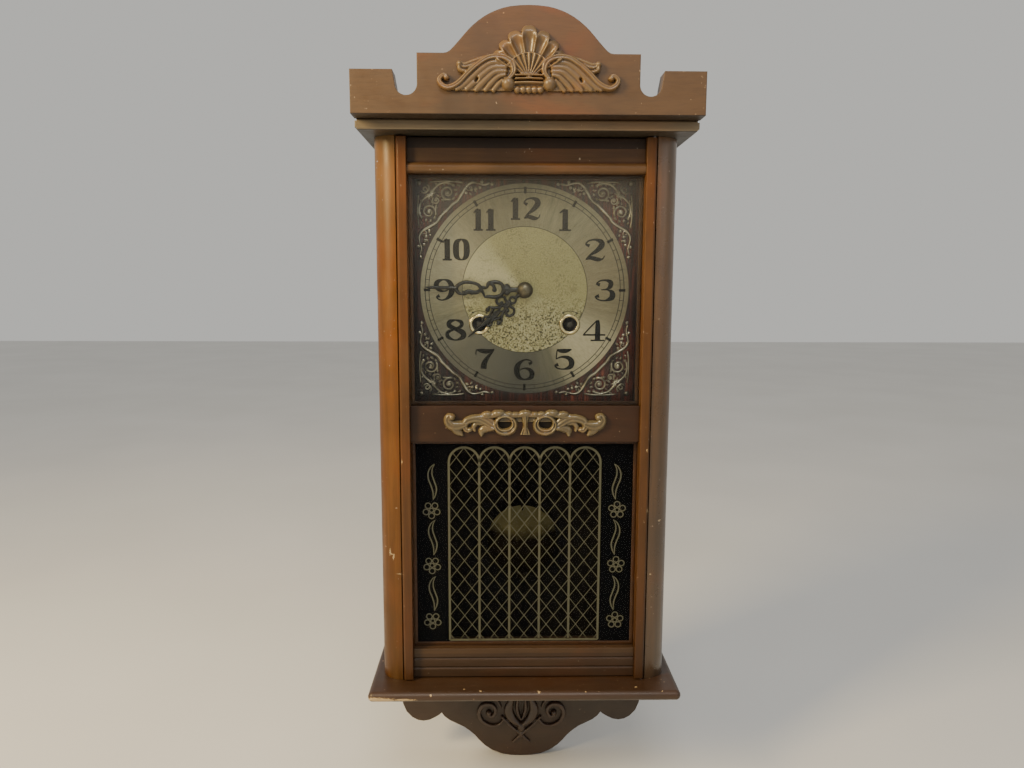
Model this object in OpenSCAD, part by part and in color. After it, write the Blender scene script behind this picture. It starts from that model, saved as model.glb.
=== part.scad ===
// Pendulum wall clock: wooden case, glazed door, dial, hands, two-train movement.
// Units are millimetres. X is to the right, Y is back to the wall, Z is up.
// The row's origin is the wall nail: the hole of the hanger plate, on the wall plane.

/* [Case] */
// Width over the two corner posts
case_w = 250; // [220:1:280]
// Height from base shelf to cornice slab
case_h = 463; // [430:1:500]
// Depth from the wall to the front of the corner posts
case_d = 90; // [80:1:110]
// Radius of the quarter-round corner posts
post_r = 19; // [14:1:24]
// Thickness of the side panels and of the back board
board_t = 8; // [6:1:12]
// Overhang of slab, shelf and crown past the case on each side
ledge = 8.8; // [5:0.2:14]
// Thickness of the base shelf
shelf_t = 8.5; // [6:0.5:12]

/* [Crown] */
// Thickness of the crown board
crown_t = 17; // [12:1:22]
// Height of the crown board's end blocks
crown_block_h = 32; // [24:1:40]
// Height of the crown board at its middle
crown_h = 78; // [60:1:90]

/* [Door] */
// Width of a door stile
stile_w = 8.2; // [6:0.2:14]
// How far the door stands proud of the posts
door_proud = 2; // [0:0.5:4]
// Height of the lower edge of the lower pane
pane_low = 27; // [20:1:40]
// Height of the lower edge of the middle rail
rail_low = 212; // [180:1:240]
// Height of the upper edge of the middle rail
rail_high = 242.7; // [220:0.1:270]
// Height of the upper edge of the upper pane
pane_high = 433.7; // [400:0.1:450]

/* [Dial] */
// Height of the dial centre above the shelf
dial_z = 340; // [320:1:360]
// Radius of the dial disc
dial_r = 90; // [80:1:94]
// Sideways distance of each winding hole from the dial centre
wind_x = 39.2; // [34:0.2:44]
// Distance of the winding holes below the dial centre
wind_z = 29.5; // [24:0.5:36]

/* [Pendulum] */
// Radius of the bob
bob_r = 33; // [26:1:38]
// Distance from the pivot of the pendulum to the middle of the bob
pendulum_l = 288; // [260:1:300]

/* [Hidden] */
$fn = 96;
eps = 0.01;
hang_z = 440;
half_w = case_w / 2;
half_l = half_w + ledge;
in_x = half_w - board_t;
post_x = half_w - post_r;
post_y = -(case_d - post_r);
front_y = -(case_d + door_proud);
slab_t = 8;
slab_y = -110;
slab_top = case_h + slab_t;
cap_h = 12;
crown_y = slab_y - crown_t;
shelf_y = -113;
door_x = post_x - 0.8;
pane_x = door_x - stile_w;
door_z0 = 1;
door_z1 = case_h - 1;
stile_y1 = front_y + 18;
rail_y = front_y + 5.5;
rail_y1 = front_y + 16;
glass_y = front_y + 11;
pivot_x = 103.1;
pivot_y = -89.5;
pin_r = 1.2;
run = 0.05;
board_y = -58;
disc_t = 1.2;
disc_y = board_y - disc_t;
// movement layout, X and Z from the dial centre
fp_y = -48;
fp_t = 1.6;
bp_y = -28;
gap_f = fp_y + fp_t;
gm = 0.8;
im = 0.7;
cm = 0.6;
n_great = 66;
n_int = 50;
n_cen = 60;
n_thi = 50;
n_pin = 10;
r_bi = gm * (n_great + n_pin) / 2;
r_ic = im * (n_int + n_pin) / 2;
r_ct = cm * (n_cen + n_pin) / 2;
r_te = cm * (n_thi + n_pin) / 2;
d_bc = sqrt(wind_x * wind_x + wind_z * wind_z);
a_bar = atan2(-wind_z, wind_x);
a_int = a_bar + acos((d_bc * d_bc + r_ic * r_ic - r_bi * r_bi) / (2 * d_bc * r_ic));
int_p = [r_ic * cos(a_int), r_ic * sin(a_int)];
a_thi = 110;
thi_p = [r_ct * cos(a_thi), r_ct * sin(a_thi)];
esc_p = [0, thi_p[1] + sqrt(r_te * r_te - thi_p[0] * thi_p[0])];
verge_z = 52;
s2_p = [-wind_x + r_bi * cos(95), -wind_z + r_bi * sin(95)];
s3_p = [s2_p[0] + r_ic * cos(60), s2_p[1] + r_ic * sin(60)];
n_war = 40;
r_wf = cm * (n_war + n_pin) / 2;
fly_p = [s3_p[0] + r_wf * cos(75), s3_p[1] + r_wf * sin(75)];
ham_p = [-62, 30];
mw_d = 16.8;
m_can = mw_d * 2 / 48;
m_hr = mw_d * 2 / 50;
pil = [[-66, -60], [66, -60], [-58, 54], [58, 54]];
a_ib = atan2(int_p[1] + wind_z, int_p[0] - wind_x);
ph_i = a_ib + 180 - 180 / n_pin;
a_ic = a_int + 180;
// tooth phases, each from the wheel before it
function mesh(th, a0, n1, n2) = th + 180 - (a0 - th) * n1 / n2 - 180 / n2;
ph_cp = mesh(a_ic, ph_i, n_int, n_pin);
ph_tp = mesh(a_thi, ph_cp, n_cen, n_pin);
a_te = atan2(esc_p[1] - thi_p[1], esc_p[0] - thi_p[0]);
ph_ep = mesh(a_te, ph_tp, n_thi, n_pin);
ph_s2 = 95 + 180 - 180 / n_pin;
ph_s3 = mesh(60, ph_s2, n_int, n_pin);
ph_fl = mesh(75, ph_s3, n_war, n_pin);
ph_mw = mesh(-90, ph_cp, 12, 36);
ph_hr = mesh(90, ph_mw, 10, 40);
minute_a = 178.5;
hour_a = -140.5;
gong_z = -115;
bob_h = 9;
bob_z = verge_z - pendulum_l;
bob_R = (bob_r * bob_r + bob_h * bob_h / 4) / bob_h;
pend_y = -20;

// Which sub-part is drawn

// the whole clock hangs from the wall nail
module place() {
    translate([0, 0, -hang_z])
        children();
}

// an axis along Y at X, Z from the dial centre; the local Z runs to the front
module at(p, y) {
    translate([p[0], y, dial_z + p[1]])
        rotate([90, 0, 0])
            children();
}

// a flat shape drawn in X and Z, spanning y0 (front) to y1 (back)
module slabxz(y0, y1) {
    translate([0, y1, 0])
        rotate([90, 0, 0])
            linear_extrude(y1 - y0)
                children();
}

module box(x0, x1, y0, y1, z0, z1) {
    translate([x0, y0, z0])
        cube([x1 - x0, y1 - y0, z1 - z0]);
}

module barx(x0, x1, y, z, r) {
    translate([x0, y, z])
        rotate([0, 90, 0])
            cylinder(r = r, h = x1 - x0);
}

module mirrored() {
    children();
    mirror([1, 0, 0])
        children();
}

function tooth(a, w, r) = [r * cos(a + w), r * sin(a + w)];
function gear_pts(n, rp, m, wr, wt) = [for (i = [0 : n - 1]) for (k = [0 : 3])
    tooth(i * 360 / n, [-wr, -wt, wt, wr][k] * 180 / n, k == 0 || k == 3 ? rp - 1.2 * m : rp + 0.75 * m)];

module gear(n, m, ph, h, hole, wr, wt) {
    rotate([0, 0, ph])
        linear_extrude(h)
            difference() {
                polygon(gear_pts(n, n * m / 2, m, wr, wt));
                circle(r = hole);
            }
}

module wheel(n, m, ph, h) {
    rp = n * m / 2;
    difference() {
        gear(n, m, ph, h, 0.5, 0.42, 0.2);
        for (i = [0 : 3])
            rotate([0, 0, ph + i * 90])
                translate([rp * 0.36, rp * 0.36, -1])
                    cylinder(r = rp * 0.26, h = h + 2);
    }
}

module pinion(m, ph, h) {
    gear(n_pin, m, ph, h, 0.5, 0.34, 0.18);
}

// arbor between the plates with a pivot in each of them
module arbor(p, r) {
    at(p, bp_y - 0.2)
        cylinder(r = r, h = bp_y - gap_f - 0.4);
    at(p, bp_y + fp_t)
        cylinder(r = 0.8, h = bp_y - fp_y + fp_t);
}

module side_panel() {
    place()
        box(in_x, half_w, post_y, 0, 0, case_h);
}

module side_panel_left() {
    color([0.35, 0.15, 0.07])
        mirror([1, 0, 0])
            side_panel();
}

module side_panel_right() {
    color([0.35, 0.15, 0.07])
        side_panel();
}

module back_board() {
    color([0.45, 0.28, 0.16])
        place()
            difference() {
                box(-in_x, in_x, -board_t, 0, 0, case_h);
                box(-20, 20, -1.5, 1, hang_z - 12, hang_z + 12);
                translate([0, 1, hang_z])
                    rotate([90, 0, 0])
                        cylinder(r = 6.5, h = board_t + 2);
                mirrored()
                    translate([15, 1, hang_z])
                        rotate([90, 0, 0])
                            cylinder(r = 1.2, h = 7.5);
            }
}

module corner_post() {
    place()
        intersection() {
            translate([post_x, post_y, 0])
                cylinder(r = post_r, h = case_h);
            box(post_x + 0.1, half_w, -case_d, post_y, 0, case_h);
        }
}

module corner_post_left() {
    color([0.42, 0.2, 0.1])
        mirror([1, 0, 0])
            corner_post();
}

module corner_post_right() {
    color([0.42, 0.2, 0.1])
        corner_post();
}

module pin_hole(z0, z1, r) {
    translate([pivot_x, pivot_y, z0])
        cylinder(r = r, h = z1 - z0);
}

module cornice_slab() {
    color([0.3, 0.12, 0.06])
        place()
            difference() {
                union() {
                    box(-half_l + 1.5, half_l - 1.5, slab_y + 1.5, 0, case_h, slab_top);
                    box(-half_l, half_l, slab_y, 0, case_h + 1.5, slab_top - 1.5);
                    barx(-half_l + 1.5, half_l - 1.5, slab_y + 1.5, case_h + 1.5, 1.5);
                    barx(-half_l + 1.5, half_l - 1.5, slab_y + 1.5, slab_top - 1.5, 1.5);
                }
                pin_hole(case_h - 1, case_h + 5, pin_r);
            }
}

module cap_board() {
    color([0.25, 0.1, 0.05])
        place()
            box(-half_l + 1, half_l - 1, slab_y, 0, slab_top, slab_top + cap_h);
}

module crown_2d() {
    nr = 9.2;
    nx = half_l - 41;
    sh = crown_block_h + 11.8;
    right = [[half_l, 0], [half_l, crown_block_h], [nx, crown_block_h], [nx, sh], [63.5, sh], [61, sh + 0.5],
        [58.6, sh + 2], [55.8, sh + 4.8], [52, sh + 8.9], [48.4, sh + 13], [45, sh + 16.7], [41.7, sh + 19.8],
        [37.5, sh + 23.2], [33, sh + 26.2], [28.5, sh + 28.6], [24, sh + 30.5], [19, sh + 32.1],
        [14, sh + 33.2], [7, crown_h - 0.25], [0, crown_h]];
    difference() {
        polygon(concat(right, [for (i = [len(right) - 2 : -1 : 0]) [-right[i][0], right[i][1]]]));
        mirrored() {
            translate([nx - 0.9, 13.5 + 8.3])
                circle(r = 8.3);
            polygon([[nx - nr, 13.5 + 8.3], [nx + 7.4, 13.5 + 8.3], [nx + nr, crown_block_h],
                [nx + nr, 90], [nx - nr, 90]]);
        }
    }
}

module crown_board() {
    color([0.4, 0.18, 0.08])
        place()
            translate([0, 0, slab_top])
                slabxz(crown_y, slab_y)
                    crown_2d();
}

module crown_carving() {
    cy = crown_y;
    color([0.45, 0.22, 0.1])
        place()
            translate([0, 0, slab_top + 20]) {
                slabxz(cy - 2, cy) {
                    intersection() {
                        circle(r = 25);
                        translate([-30, 4])
                            square([60, 30]);
                    }
                    translate([-27, 0])
                        square([54, 6]);
                    for (s = [-1, 1]) {
                        translate([s * 26, 8])
                            circle(r = 7);
                        translate([s * 40, 4])
                            circle(r = 8);
                        translate([s * 52, 10])
                            circle(r = 7);
                        translate([s * 61, 3])
                            circle(r = 5);
                    }
                }
                slabxz(cy - 5, cy - 2) {
                    for (i = [0 : 8])
                        rotate(20 + i * 17.5) {
                            polygon([[7, -1], [22, -2.4], [22, 2.4], [7, 1]]);
                            translate([22, 0])
                                circle(r = 2.4);
                        }
                    for (s = [-1, 1]) {
                        translate([s * 15.5, 3])
                            circle(r = 4);
                        translate([s * 52, 12])
                            circle(r = 3.5);
                        translate([s * 62, 3])
                            circle(r = 3);
                    }
                }
            }
}

module base_shelf() {
    r = shelf_t / 2;
    color([0.3, 0.12, 0.06])
        place()
            difference() {
                union() {
                    box(-half_l + r, half_l - r, shelf_y + r, 0, -shelf_t, 0);
                    barx(-half_l + r, half_l - r, shelf_y + r, -r, r);
                    for (s = [-1, 1]) {
                        translate([s * (half_l - r), 0, -r])
                            rotate([90, 0, 0])
                                cylinder(r = r, h = -shelf_y - r);
                        translate([s * (half_l - r), shelf_y + r, -r])
                            sphere(r = r);
                    }
                }
                pin_hole(-5, 1, pin_r);
            }
}

module bracket_2d() {
    mirrored()
        polygon([[0, 0], [118, 0], [118.5, -20], [118.5, -44], [117, -57.5], [113.5, -66], [108, -72],
            [102.5, -75], [97, -76], [91, -75], [85, -72], [81, -69.5], [79, -67.5], [76, -71.5],
            [71, -75.5], [64, -79], [57, -82.5], [51, -87], [46, -91.5], [42, -96.5], [36, -102.5],
            [29, -107.5], [20, -111.2], [10, -113], [0, -113.5]]);
}

module base_bracket() {
    color([0.38, 0.17, 0.08])
        place()
            translate([0, 0, -shelf_t])
                slabxz(-15, 0)
                    bracket_2d();
}

module bracket_carving() {
    color([0.45, 0.22, 0.1])
        place()
            translate([0, 0, -shelf_t]) {
                slabxz(-18, -15) {
                    translate([0, -88])
                        circle(r = 13);
                    for (s = [-1, 1]) {
                        translate([s * 14, -72])
                            circle(r = 12);
                        translate([s * 30, -66])
                            circle(r = 10);
                        translate([s * 39, -70])
                            circle(r = 6);
                    }
                    translate([-34, -66])
                        square([68, 18]);
                    translate([-9, -103])
                        square([18, 10]);
                }
                slabxz(-20, -18) {
                    for (s = [-1, 1])
                        translate([s * 32, -73])
                            circle(r = 5);
                    translate([0, -88])
                        circle(r = 7);
                }
            }
}

module hanger_plate() {
    color([0.6, 0.55, 0.4])
        place()
            difference() {
                box(-20, 20, -1.5, 0, hang_z - 12, hang_z + 12);
                translate([0, 1, hang_z])
                    rotate([90, 0, 0])
                        cylinder(r = 4, h = 4);
                mirrored()
                    translate([15, 1, hang_z])
                        rotate([90, 0, 0])
                            cylinder(r = 1.2, h = 4);
            }
}

module hanger_screws() {
    color([0.7, 0.7, 0.7])
        place()
            mirrored()
                translate([15, 0, hang_z])
                    rotate([90, 0, 0])
                        cylinder(r = 1.2, h = 6.5);
}

module dial_battens() {
    color([0.5, 0.33, 0.2])
        place()
            mirrored()
                box(in_x - 10, in_x, board_y + 7, -38, rail_high - 4, pane_high + 9);
}

module dial_board() {
    color([0.35, 0.1, 0.06])
        place()
            difference() {
                box(-in_x, in_x, board_y, board_y + 7, rail_high - 4, pane_high + 9);
                translate([0, board_y + 8, dial_z])
                    rotate([90, 0, 0])
                        cylinder(r = 55, h = 9);
            }
}

module dial_disc() {
    color([0.85, 0.8, 0.65])
        place()
            difference() {
                at([0, 0], board_y)
                    cylinder(r = dial_r, h = disc_t, $fn = 180);
                at([0, 0], board_y + 1)
                    cylinder(r = 4, h = 4);
                for (s = [-1, 1])
                    at([s * wind_x, -wind_z], board_y + 1)
                        cylinder(r = 7, h = 4);
            }
}

module spandrels() {
    e = 94;
    color([0.8, 0.62, 0.25])
        place()
            translate([0, 0, dial_z])
                slabxz(board_y - 0.6, board_y)
                    difference() {
                        for (a = [0 : 90 : 270])
                            rotate(a)
                                polygon([[e, e], [e, 28], [28, e]]);
                        circle(r = dial_r + 2, $fn = 180);
                    }
}

module winding_grommets() {
    color([0.8, 0.65, 0.3])
        place()
            for (s = [-1, 1])
                at([s * wind_x, -wind_z], board_y)
                    difference() {
                        union() {
                            cylinder(r = 7, h = disc_t + 0.2);
                            translate([0, 0, disc_t])
                                cylinder(r = 8.5, h = 0.9);
                        }
                        translate([0, 0, -1])
                            cylinder(r = 6.5, h = 5);
                    }
}

// pivots common to both plates
module pivot_holes(y) {
    for (p = [int_p, thi_p, esc_p, s2_p, s3_p, fly_p, ham_p])
        at(p, y)
            cylinder(r = 0.8 + run, h = 6);
}

module plate_blank(y) {
    at([0, 0], y + fp_t)
        translate([-72, -66, 0])
            cube([144, 132, fp_t]);
}

module front_plate() {
    color([0.78, 0.62, 0.3])
        place()
            difference() {
                plate_blank(fp_y);
                pivot_holes(gap_f + 2);
                at([0, 0], gap_f + 2)
                    cylinder(r = 2.5 + run, h = 6);
                at([0, verge_z], gap_f + 2)
                    cylinder(r = 0.8 + run, h = 6);
                for (s = [-1, 1])
                    at([s * wind_x, -wind_z], gap_f + 2)
                        cylinder(r = 3 + run, h = 6);
                for (p = pil)
                    at(p, gap_f + 2)
                        cylinder(r = 1.5, h = 6);
                at([0, -mw_d], gap_f + 2)
                    cylinder(r = 0.8 + run, h = 6);
            }
}

module back_plate() {
    color([0.78, 0.62, 0.3])
        place()
            difference() {
                plate_blank(bp_y);
                pivot_holes(bp_y + 4);
                at([0, 0], bp_y + 4)
                    cylinder(r = 0.8 + run, h = 6);
                at([0, verge_z], bp_y + 4)
                    cylinder(r = 1.2 + run, h = 6);
                for (s = [-1, 1])
                    at([s * wind_x, -wind_z], bp_y + 4)
                        cylinder(r = 2 + run, h = 6);
                for (p = pil)
                    at(p, bp_y + 4)
                        cylinder(r = 1.5, h = 6);
            }
}

// pillars with their threaded ends and the nuts that hold the front plate
module plate_pillars() {
    color([0.75, 0.6, 0.3])
        place()
            for (p = pil) {
                at(p, bp_y)
                    cylinder(r = 3.5, h = bp_y - gap_f);
                at(p, bp_y + fp_t)
                    cylinder(r = 1.5, h = bp_y - fp_y + 2 * fp_t);
                at(p, fp_y)
                    cylinder(r = 3.2, h = 2, $fn = 6);
            }
}

module movement_standoffs() {
    color([0.6, 0.6, 0.6])
        place()
            for (p = pil)
                at(p, -board_t)
                    cylinder(r = 4, h = -board_t - bp_y - fp_t);
}

module suspension_cock() {
    color([0.75, 0.6, 0.3])
        place()
            difference() {
                box(-4, 4, bp_y + fp_t, -17, dial_z + 57.5, dial_z + 65);
                box(-0.1, 0.1, -22.5, -17.5, dial_z + 56, dial_z + 61);
            }
}

module suspension_spring() {
    color([0.7, 0.72, 0.75])
        place()
            box(-0.1, 0.1, -22.5, -17.5, dial_z + 47, dial_z + 61);
}

module centre_wheel() {
    color([0.78, 0.62, 0.3])
        place() {
            at([0, 0], bp_y - 0.2)
                cylinder(r = 1.5, h = bp_y - gap_f - 0.4);
            at([0, 0], bp_y + fp_t)
                cylinder(r = 0.8, h = 4);
            at([0, 0], gap_f - 0.2)
                cylinder(r = 2.5, h = 14.4);
            at([0, 0], fp_y - 3)
                cylinder(r = 2.5, h = 13.8);
            at([0, 0], -30.5)
                pinion(im, ph_cp, 2.4);
            at([0, 0], -41.6)
                wheel(n_cen, cm, ph_cp, 1);
            at([0, 0], -50.4)
                gear(12, m_can, ph_cp, 1.6, 0.5, 0.36, 0.18);
        }
}

module intermediate_wheel() {
    color([0.78, 0.62, 0.3])
        place() {
            arbor(int_p, 1.5);
            at(int_p, -43.8)
                pinion(gm, ph_i, 2.2);
            at(int_p, -31.1)
                wheel(n_int, im, ph_i, 1.2);
        }
}

module third_wheel() {
    color([0.78, 0.62, 0.3])
        place() {
            arbor(thi_p, 1.4);
            at(thi_p, -40.8)
                pinion(cm, ph_tp, 2.6);
            at(thi_p, -36)
                wheel(n_thi, cm, ph_tp, 1);
        }
}

module escape_wheel() {
    color([0.78, 0.62, 0.3])
        place() {
            arbor(esc_p, 1.4);
            at(esc_p, -35)
                pinion(cm, ph_ep, 3);
            at(esc_p, -44)
                linear_extrude(1)
                    difference() {
                        polygon([for (i = [0 : 29]) for (k = [0 : 2])
                            [[10.4, 12.5, 10.4][k] * cos(i * 12 + [0, 7, 8.5][k]),
                             [10.4, 12.5, 10.4][k] * sin(i * 12 + [0, 7, 8.5][k])]]);
                        circle(r = 0.5);
                    }
        }
}

// drum with the great wheel on its front
module barrel(s, ph) {
    color([0.78, 0.62, 0.3])
        place()
            difference() {
                union() {
                    at([s * wind_x, -wind_z], -44.2)
                        gear(n_great, gm, ph, 1.4, 1, 0.42, 0.2);
                    at([s * wind_x, -wind_z], -33.5)
                        cylinder(r = 24, h = 10.7);
                }
                at([s * wind_x, -wind_z], -30)
                    cylinder(r = 3 + run, h = 20);
            }
}

module time_barrel() {
    barrel(1, a_ib);
}

module strike_barrel() {
    barrel(-1, 95);
}

module winding_arbor(s) {
    color([0.62, 0.62, 0.65])
        place()
            at([s * wind_x, -wind_z], bp_y + fp_t) {
                cylinder(r = 2, h = 3);
                translate([0, 0, fp_t + 0.2])
                    cylinder(r = 3, h = 22.5);
                translate([-2.1, -2.1, 20])
                    cube([4.2, 4.2, 13.2]);
                translate([0, 0, 22])
                    linear_extrude(1.2)
                        polygon([for (i = [0 : 15]) for (k = [0, 1])
                            [[8, 6.6][k] * cos(i * 22.5 + k * 3), [8, 6.6][k] * sin(i * 22.5 + k * 3)]]);
            }
}

module time_winding_arbor() {
    winding_arbor(1);
}

module strike_winding_arbor() {
    winding_arbor(-1);
}

module pallets() {
    color([0.6, 0.6, 0.63])
        place() {
            at([0, verge_z], bp_y - 0.2)
                cylinder(r = 1.5, h = bp_y - gap_f - 0.4);
            at([0, verge_z], bp_y + 4)
                cylinder(r = 1.2, h = 5);
            at([0, verge_z], gap_f)
                cylinder(r = 0.8, h = fp_t);
            at([0, verge_z], gap_f + 0.2)
                cylinder(r = 0.8, h = 1);
            at([0, verge_z], -43.8)
                linear_extrude(1.4) {
                    circle(r = 3);
                    for (s = [-1, 1])
                        polygon([[0, 2.4], [s * 11, -2], [s * 11.6, -6], [s * 10.6, -6], [s * 9, -2.6],
                            [0, -1.6]]);
                }
        }
}

module crutch() {
    color([0.6, 0.6, 0.63])
        place()
            difference() {
                union() {
                    at([0, verge_z], -24.2)
                        cylinder(r = 3, h = 1.8);
                    box(-1, 1, -25.8, -24.4, dial_z + 10, dial_z + verge_z);
                    box(-2.8, 2.8, -25.8, -24.4, dial_z + 9, dial_z + 12);
                    box(-2.8, -1.6, -25.8, -17, dial_z + 9, dial_z + 12);
                    box(1.6, 2.8, -25.8, -17, dial_z + 9, dial_z + 12);
                }
                at([0, verge_z], -20)
                    cylinder(r = 1.2, h = 8);
            }
}

module minute_wheel() {
    color([0.78, 0.62, 0.3])
        place() {
            at([0, -mw_d], fp_y - 0.6)
                cylinder(r = 2, h = 2);
            at([0, -mw_d], gap_f)
                cylinder(r = 0.8, h = 6);
            at([0, -mw_d], -50.6)
                wheel(36, m_can, ph_mw, 1.2);
            at([0, -mw_d], -51.6)
                pinion(m_hr, ph_mw, 2.6);
        }
}

module hour_wheel() {
    color([0.78, 0.62, 0.3])
        place()
            difference() {
                union() {
                    at([0, 0], -52.8)
                        gear(40, m_hr, ph_hr, 1.2, 1, 0.42, 0.2);
                    at([0, 0], -52.8)
                        cylinder(r = 3.5, h = 8.8);
                }
                at([0, 0], -50)
                    cylinder(r = 2.5 + run, h = 14);
            }
}

// pierced blade built along +X
module hand_2d(l, hub, rings) {
    circle(r = hub);
    difference() {
        union() {
            polygon([[0, 1.6], [l * 0.55, 1.1], [l - 6, 0.9], [l, 0], [l - 6, -0.9], [l * 0.55, -1.1],
                [0, -1.6]]);
            for (g = rings)
                translate([g[0], 0])
                    circle(r = g[1]);
        }
        for (g = rings)
            translate([g[0], 0])
                circle(r = g[1] - 1.4);
    }
}

module hour_hand() {
    color([0.05, 0.05, 0.05])
        place()
            at([0, 0], -60.6)
                rotate([0, 0, hour_a])
                    linear_extrude(0.9)
                        difference() {
                            hand_2d(62, 6.5, [[16, 4], [26, 5], [38, 4.5], [48, 2.8]]);
                            circle(r = 3.5);
                        }
}

module minute_hand() {
    color([0.05, 0.05, 0.05])
        place()
            at([0, 0], -63.6)
                rotate([0, 0, minute_a])
                    linear_extrude(0.9)
                        difference() {
                            hand_2d(85, 5, [[18, 3.5], [30, 5], [42, 3.6], [56, 3]]);
                            circle(r = 2.5);
                        }
}

module hand_nut() {
    color([0.7, 0.68, 0.6])
        place()
            at([0, 0], -64.5) {
                difference() {
                    cylinder(r = 6.5, h = 1.6);
                    translate([0, 0, -1])
                        cylinder(r = 2.5, h = 2);
                }
                translate([0, 0, 1.6])
                    intersection() {
                        translate([0, 0, -5])
                            sphere(r = 8.2);
                        cylinder(r = 6.5, h = 5);
                    }
            }
}

module strike_second_wheel() {
    color([0.78, 0.62, 0.3])
        place() {
            arbor(s2_p, 1.5);
            at(s2_p, -43.8)
                pinion(gm, ph_s2, 2.2);
            at(s2_p, -31.1)
                wheel(n_int, im, ph_s2, 1.2);
        }
}

module strike_warning_wheel() {
    color([0.78, 0.62, 0.3])
        place() {
            arbor(s3_p, 1.4);
            at(s3_p, -30.5)
                pinion(im, ph_s3, 2.4);
            at(s3_p, -34)
                wheel(n_war, cm, ph_s3, 1);
        }
}

module fly() {
    color([0.78, 0.62, 0.3])
        place() {
            arbor(fly_p, 1.3);
            at(fly_p, -33.2)
                pinion(cm, ph_fl, 2.6);
            at(fly_p, -37.6)
                translate([-9, -0.4, 0])
                    cube([18, 0.8, 7]);
        }
}

module hammer() {
    color([0.55, 0.55, 0.58])
        place() {
            arbor(ham_p, 1.5);
            at(ham_p, -23)
                cylinder(r = 0.8, h = 4);
            at(ham_p, -22.8)
                cylinder(r = 3, h = 3);
            translate([0, 0, dial_z])
                slabxz(-25.2, -23.4)
                    polygon([[-63, 29], [-61, 31.5], [-45, 5.6], [-45, -109], [-47, -109], [-47, 4.6]]);
            at([-46, -108], -12)
                cylinder(r = 1.6, h = 12.6);
            barx(-52, -37, -12, dial_z - 108, 3.6);
        }
}

module gong_arcs(r) {
    translate([0, -12, dial_z + gong_z]) {
        for (k = [0 : 3])
            rotate([90, 0, 0])
                rotate_extrude(angle = 180)
                    translate([34 - 6 * k, 0])
                        circle(r = r, $fn = 24);
        for (k = [0 : 2])
            translate([-3, 0, 0])
                rotate([90, 0, 0])
                    rotate([0, 0, 180])
                        rotate_extrude(angle = 180)
                            translate([31 - 6 * k, 0])
                                circle(r = r, $fn = 24);
    }
}

module coil_gong() {
    color([0.3, 0.32, 0.36])
        place()
            gong_arcs(1.3);
}

module gong_block() {
    color([0.2, 0.2, 0.2])
        place()
            difference() {
                box(-18.5, -13.5, -16, -board_t, dial_z + gong_z - 9, dial_z + gong_z + 5);
                gong_arcs(1.3);
            }
}

module pendulum_rod() {
    color([0.72, 0.6, 0.3])
        place() {
            translate([0, pend_y, dial_z + bob_z - bob_r - 10])
                cylinder(r = pin_r, h = 40 - bob_z + bob_r + 12);
            difference() {
                box(-2.4, 2.4, -22.8, -17.2, dial_z + 40, dial_z + 49);
                box(-0.8, 0.8, -24, -16, dial_z + 45, dial_z + 50);
            }
        }
}

module pendulum_bob() {
    color([0.8, 0.66, 0.35])
        place()
            translate([0, pend_y, dial_z + bob_z])
                difference() {
                    intersection() {
                        translate([0, bob_R - bob_h / 2, 0])
                            sphere(r = bob_R, $fn = 200);
                        translate([0, -bob_R + bob_h / 2, 0])
                            sphere(r = bob_R, $fn = 200);
                    }
                    translate([0, 0, -bob_r - 1])
                        cylinder(r = pin_r + run, h = 2 * bob_r + 2);
                }
}

module rating_nut() {
    color([0.72, 0.6, 0.3])
        place()
            translate([0, pend_y, dial_z + bob_z - bob_r - 4.6])
                difference() {
                    cylinder(r = 5, h = 4);
                    translate([0, 0, -1])
                        cylinder(r = pin_r + run, h = 6);
                }
}

module stile(z0, z1) {
    slope = 1.5;
    translate([0, 0, z0])
        linear_extrude(z1 - z0)
            polygon([[pane_x, front_y], [door_x - slope, front_y], [door_x, front_y + slope],
                [door_x, stile_y1], [pane_x, stile_y1]]);
}

module door_stile_left() {
    color([0.42, 0.2, 0.1])
        place()
            mirror([1, 0, 0])
                stile(door_z0, door_z1);
}

module door_stile_right() {
    color([0.42, 0.2, 0.1])
        place()
            difference() {
                stile(door_z0, door_z1);
                pin_hole(0, 10, pin_r + run);
                pin_hole(door_z1 - 9, door_z1 + 1, pin_r + run);
            }
}

module door_top_rail() {
    color([0.4, 0.19, 0.09])
        place() {
            box(-pane_x, pane_x, rail_y, rail_y1, pane_high, door_z1);
            barx(-pane_x, pane_x, rail_y, pane_high + 4.3, 4.2);
        }
}

module door_mid_rail() {
    color([0.4, 0.19, 0.09])
        place()
            box(-pane_x, pane_x, rail_y, rail_y1, rail_low, rail_high);
}

module door_bottom_rail() {
    color([0.4, 0.19, 0.09])
        place()
            difference() {
                box(-pane_x, pane_x, rail_y, rail_y1, door_z0, pane_low);
                for (z = [9.3, 18])
                    barx(-pane_x - 1, pane_x + 1, rail_y, z, 1);
            }
}

module mid_ornament() {
    color([0.75, 0.58, 0.3])
        place()
            translate([0, 0, (rail_low + rail_high) / 2])
                slabxz(rail_y - 3, rail_y)
                    difference() {
                        union() {
                            translate([-52, -3])
                                square([104, 6]);
                            translate([-2.5, -9])
                                square([5, 18]);
                            for (s = [-1, 1]) {
                                translate([s * 14, -1])
                                    circle(r = 9);
                                translate([s * 32, 2])
                                    circle(r = 7);
                                translate([s * 47, 2])
                                    circle(r = 6);
                                translate([s * 58, 0])
                                    circle(r = 6.5);
                            }
                        }
                        for (s = [-1, 1])
                            translate([s * 14, -1])
                                circle(r = 4.5);
                    }
}

module upper_glass() {
    color([0.8, 0.88, 0.88, 0.3])
        place()
            box(-pane_x, pane_x, glass_y, glass_y + 2, rail_high, pane_high);
}

module lower_glass() {
    color([0.8, 0.88, 0.88, 0.3])
        place()
            box(-pane_x, pane_x, glass_y, glass_y + 2, pane_low, rail_low);
}

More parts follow.
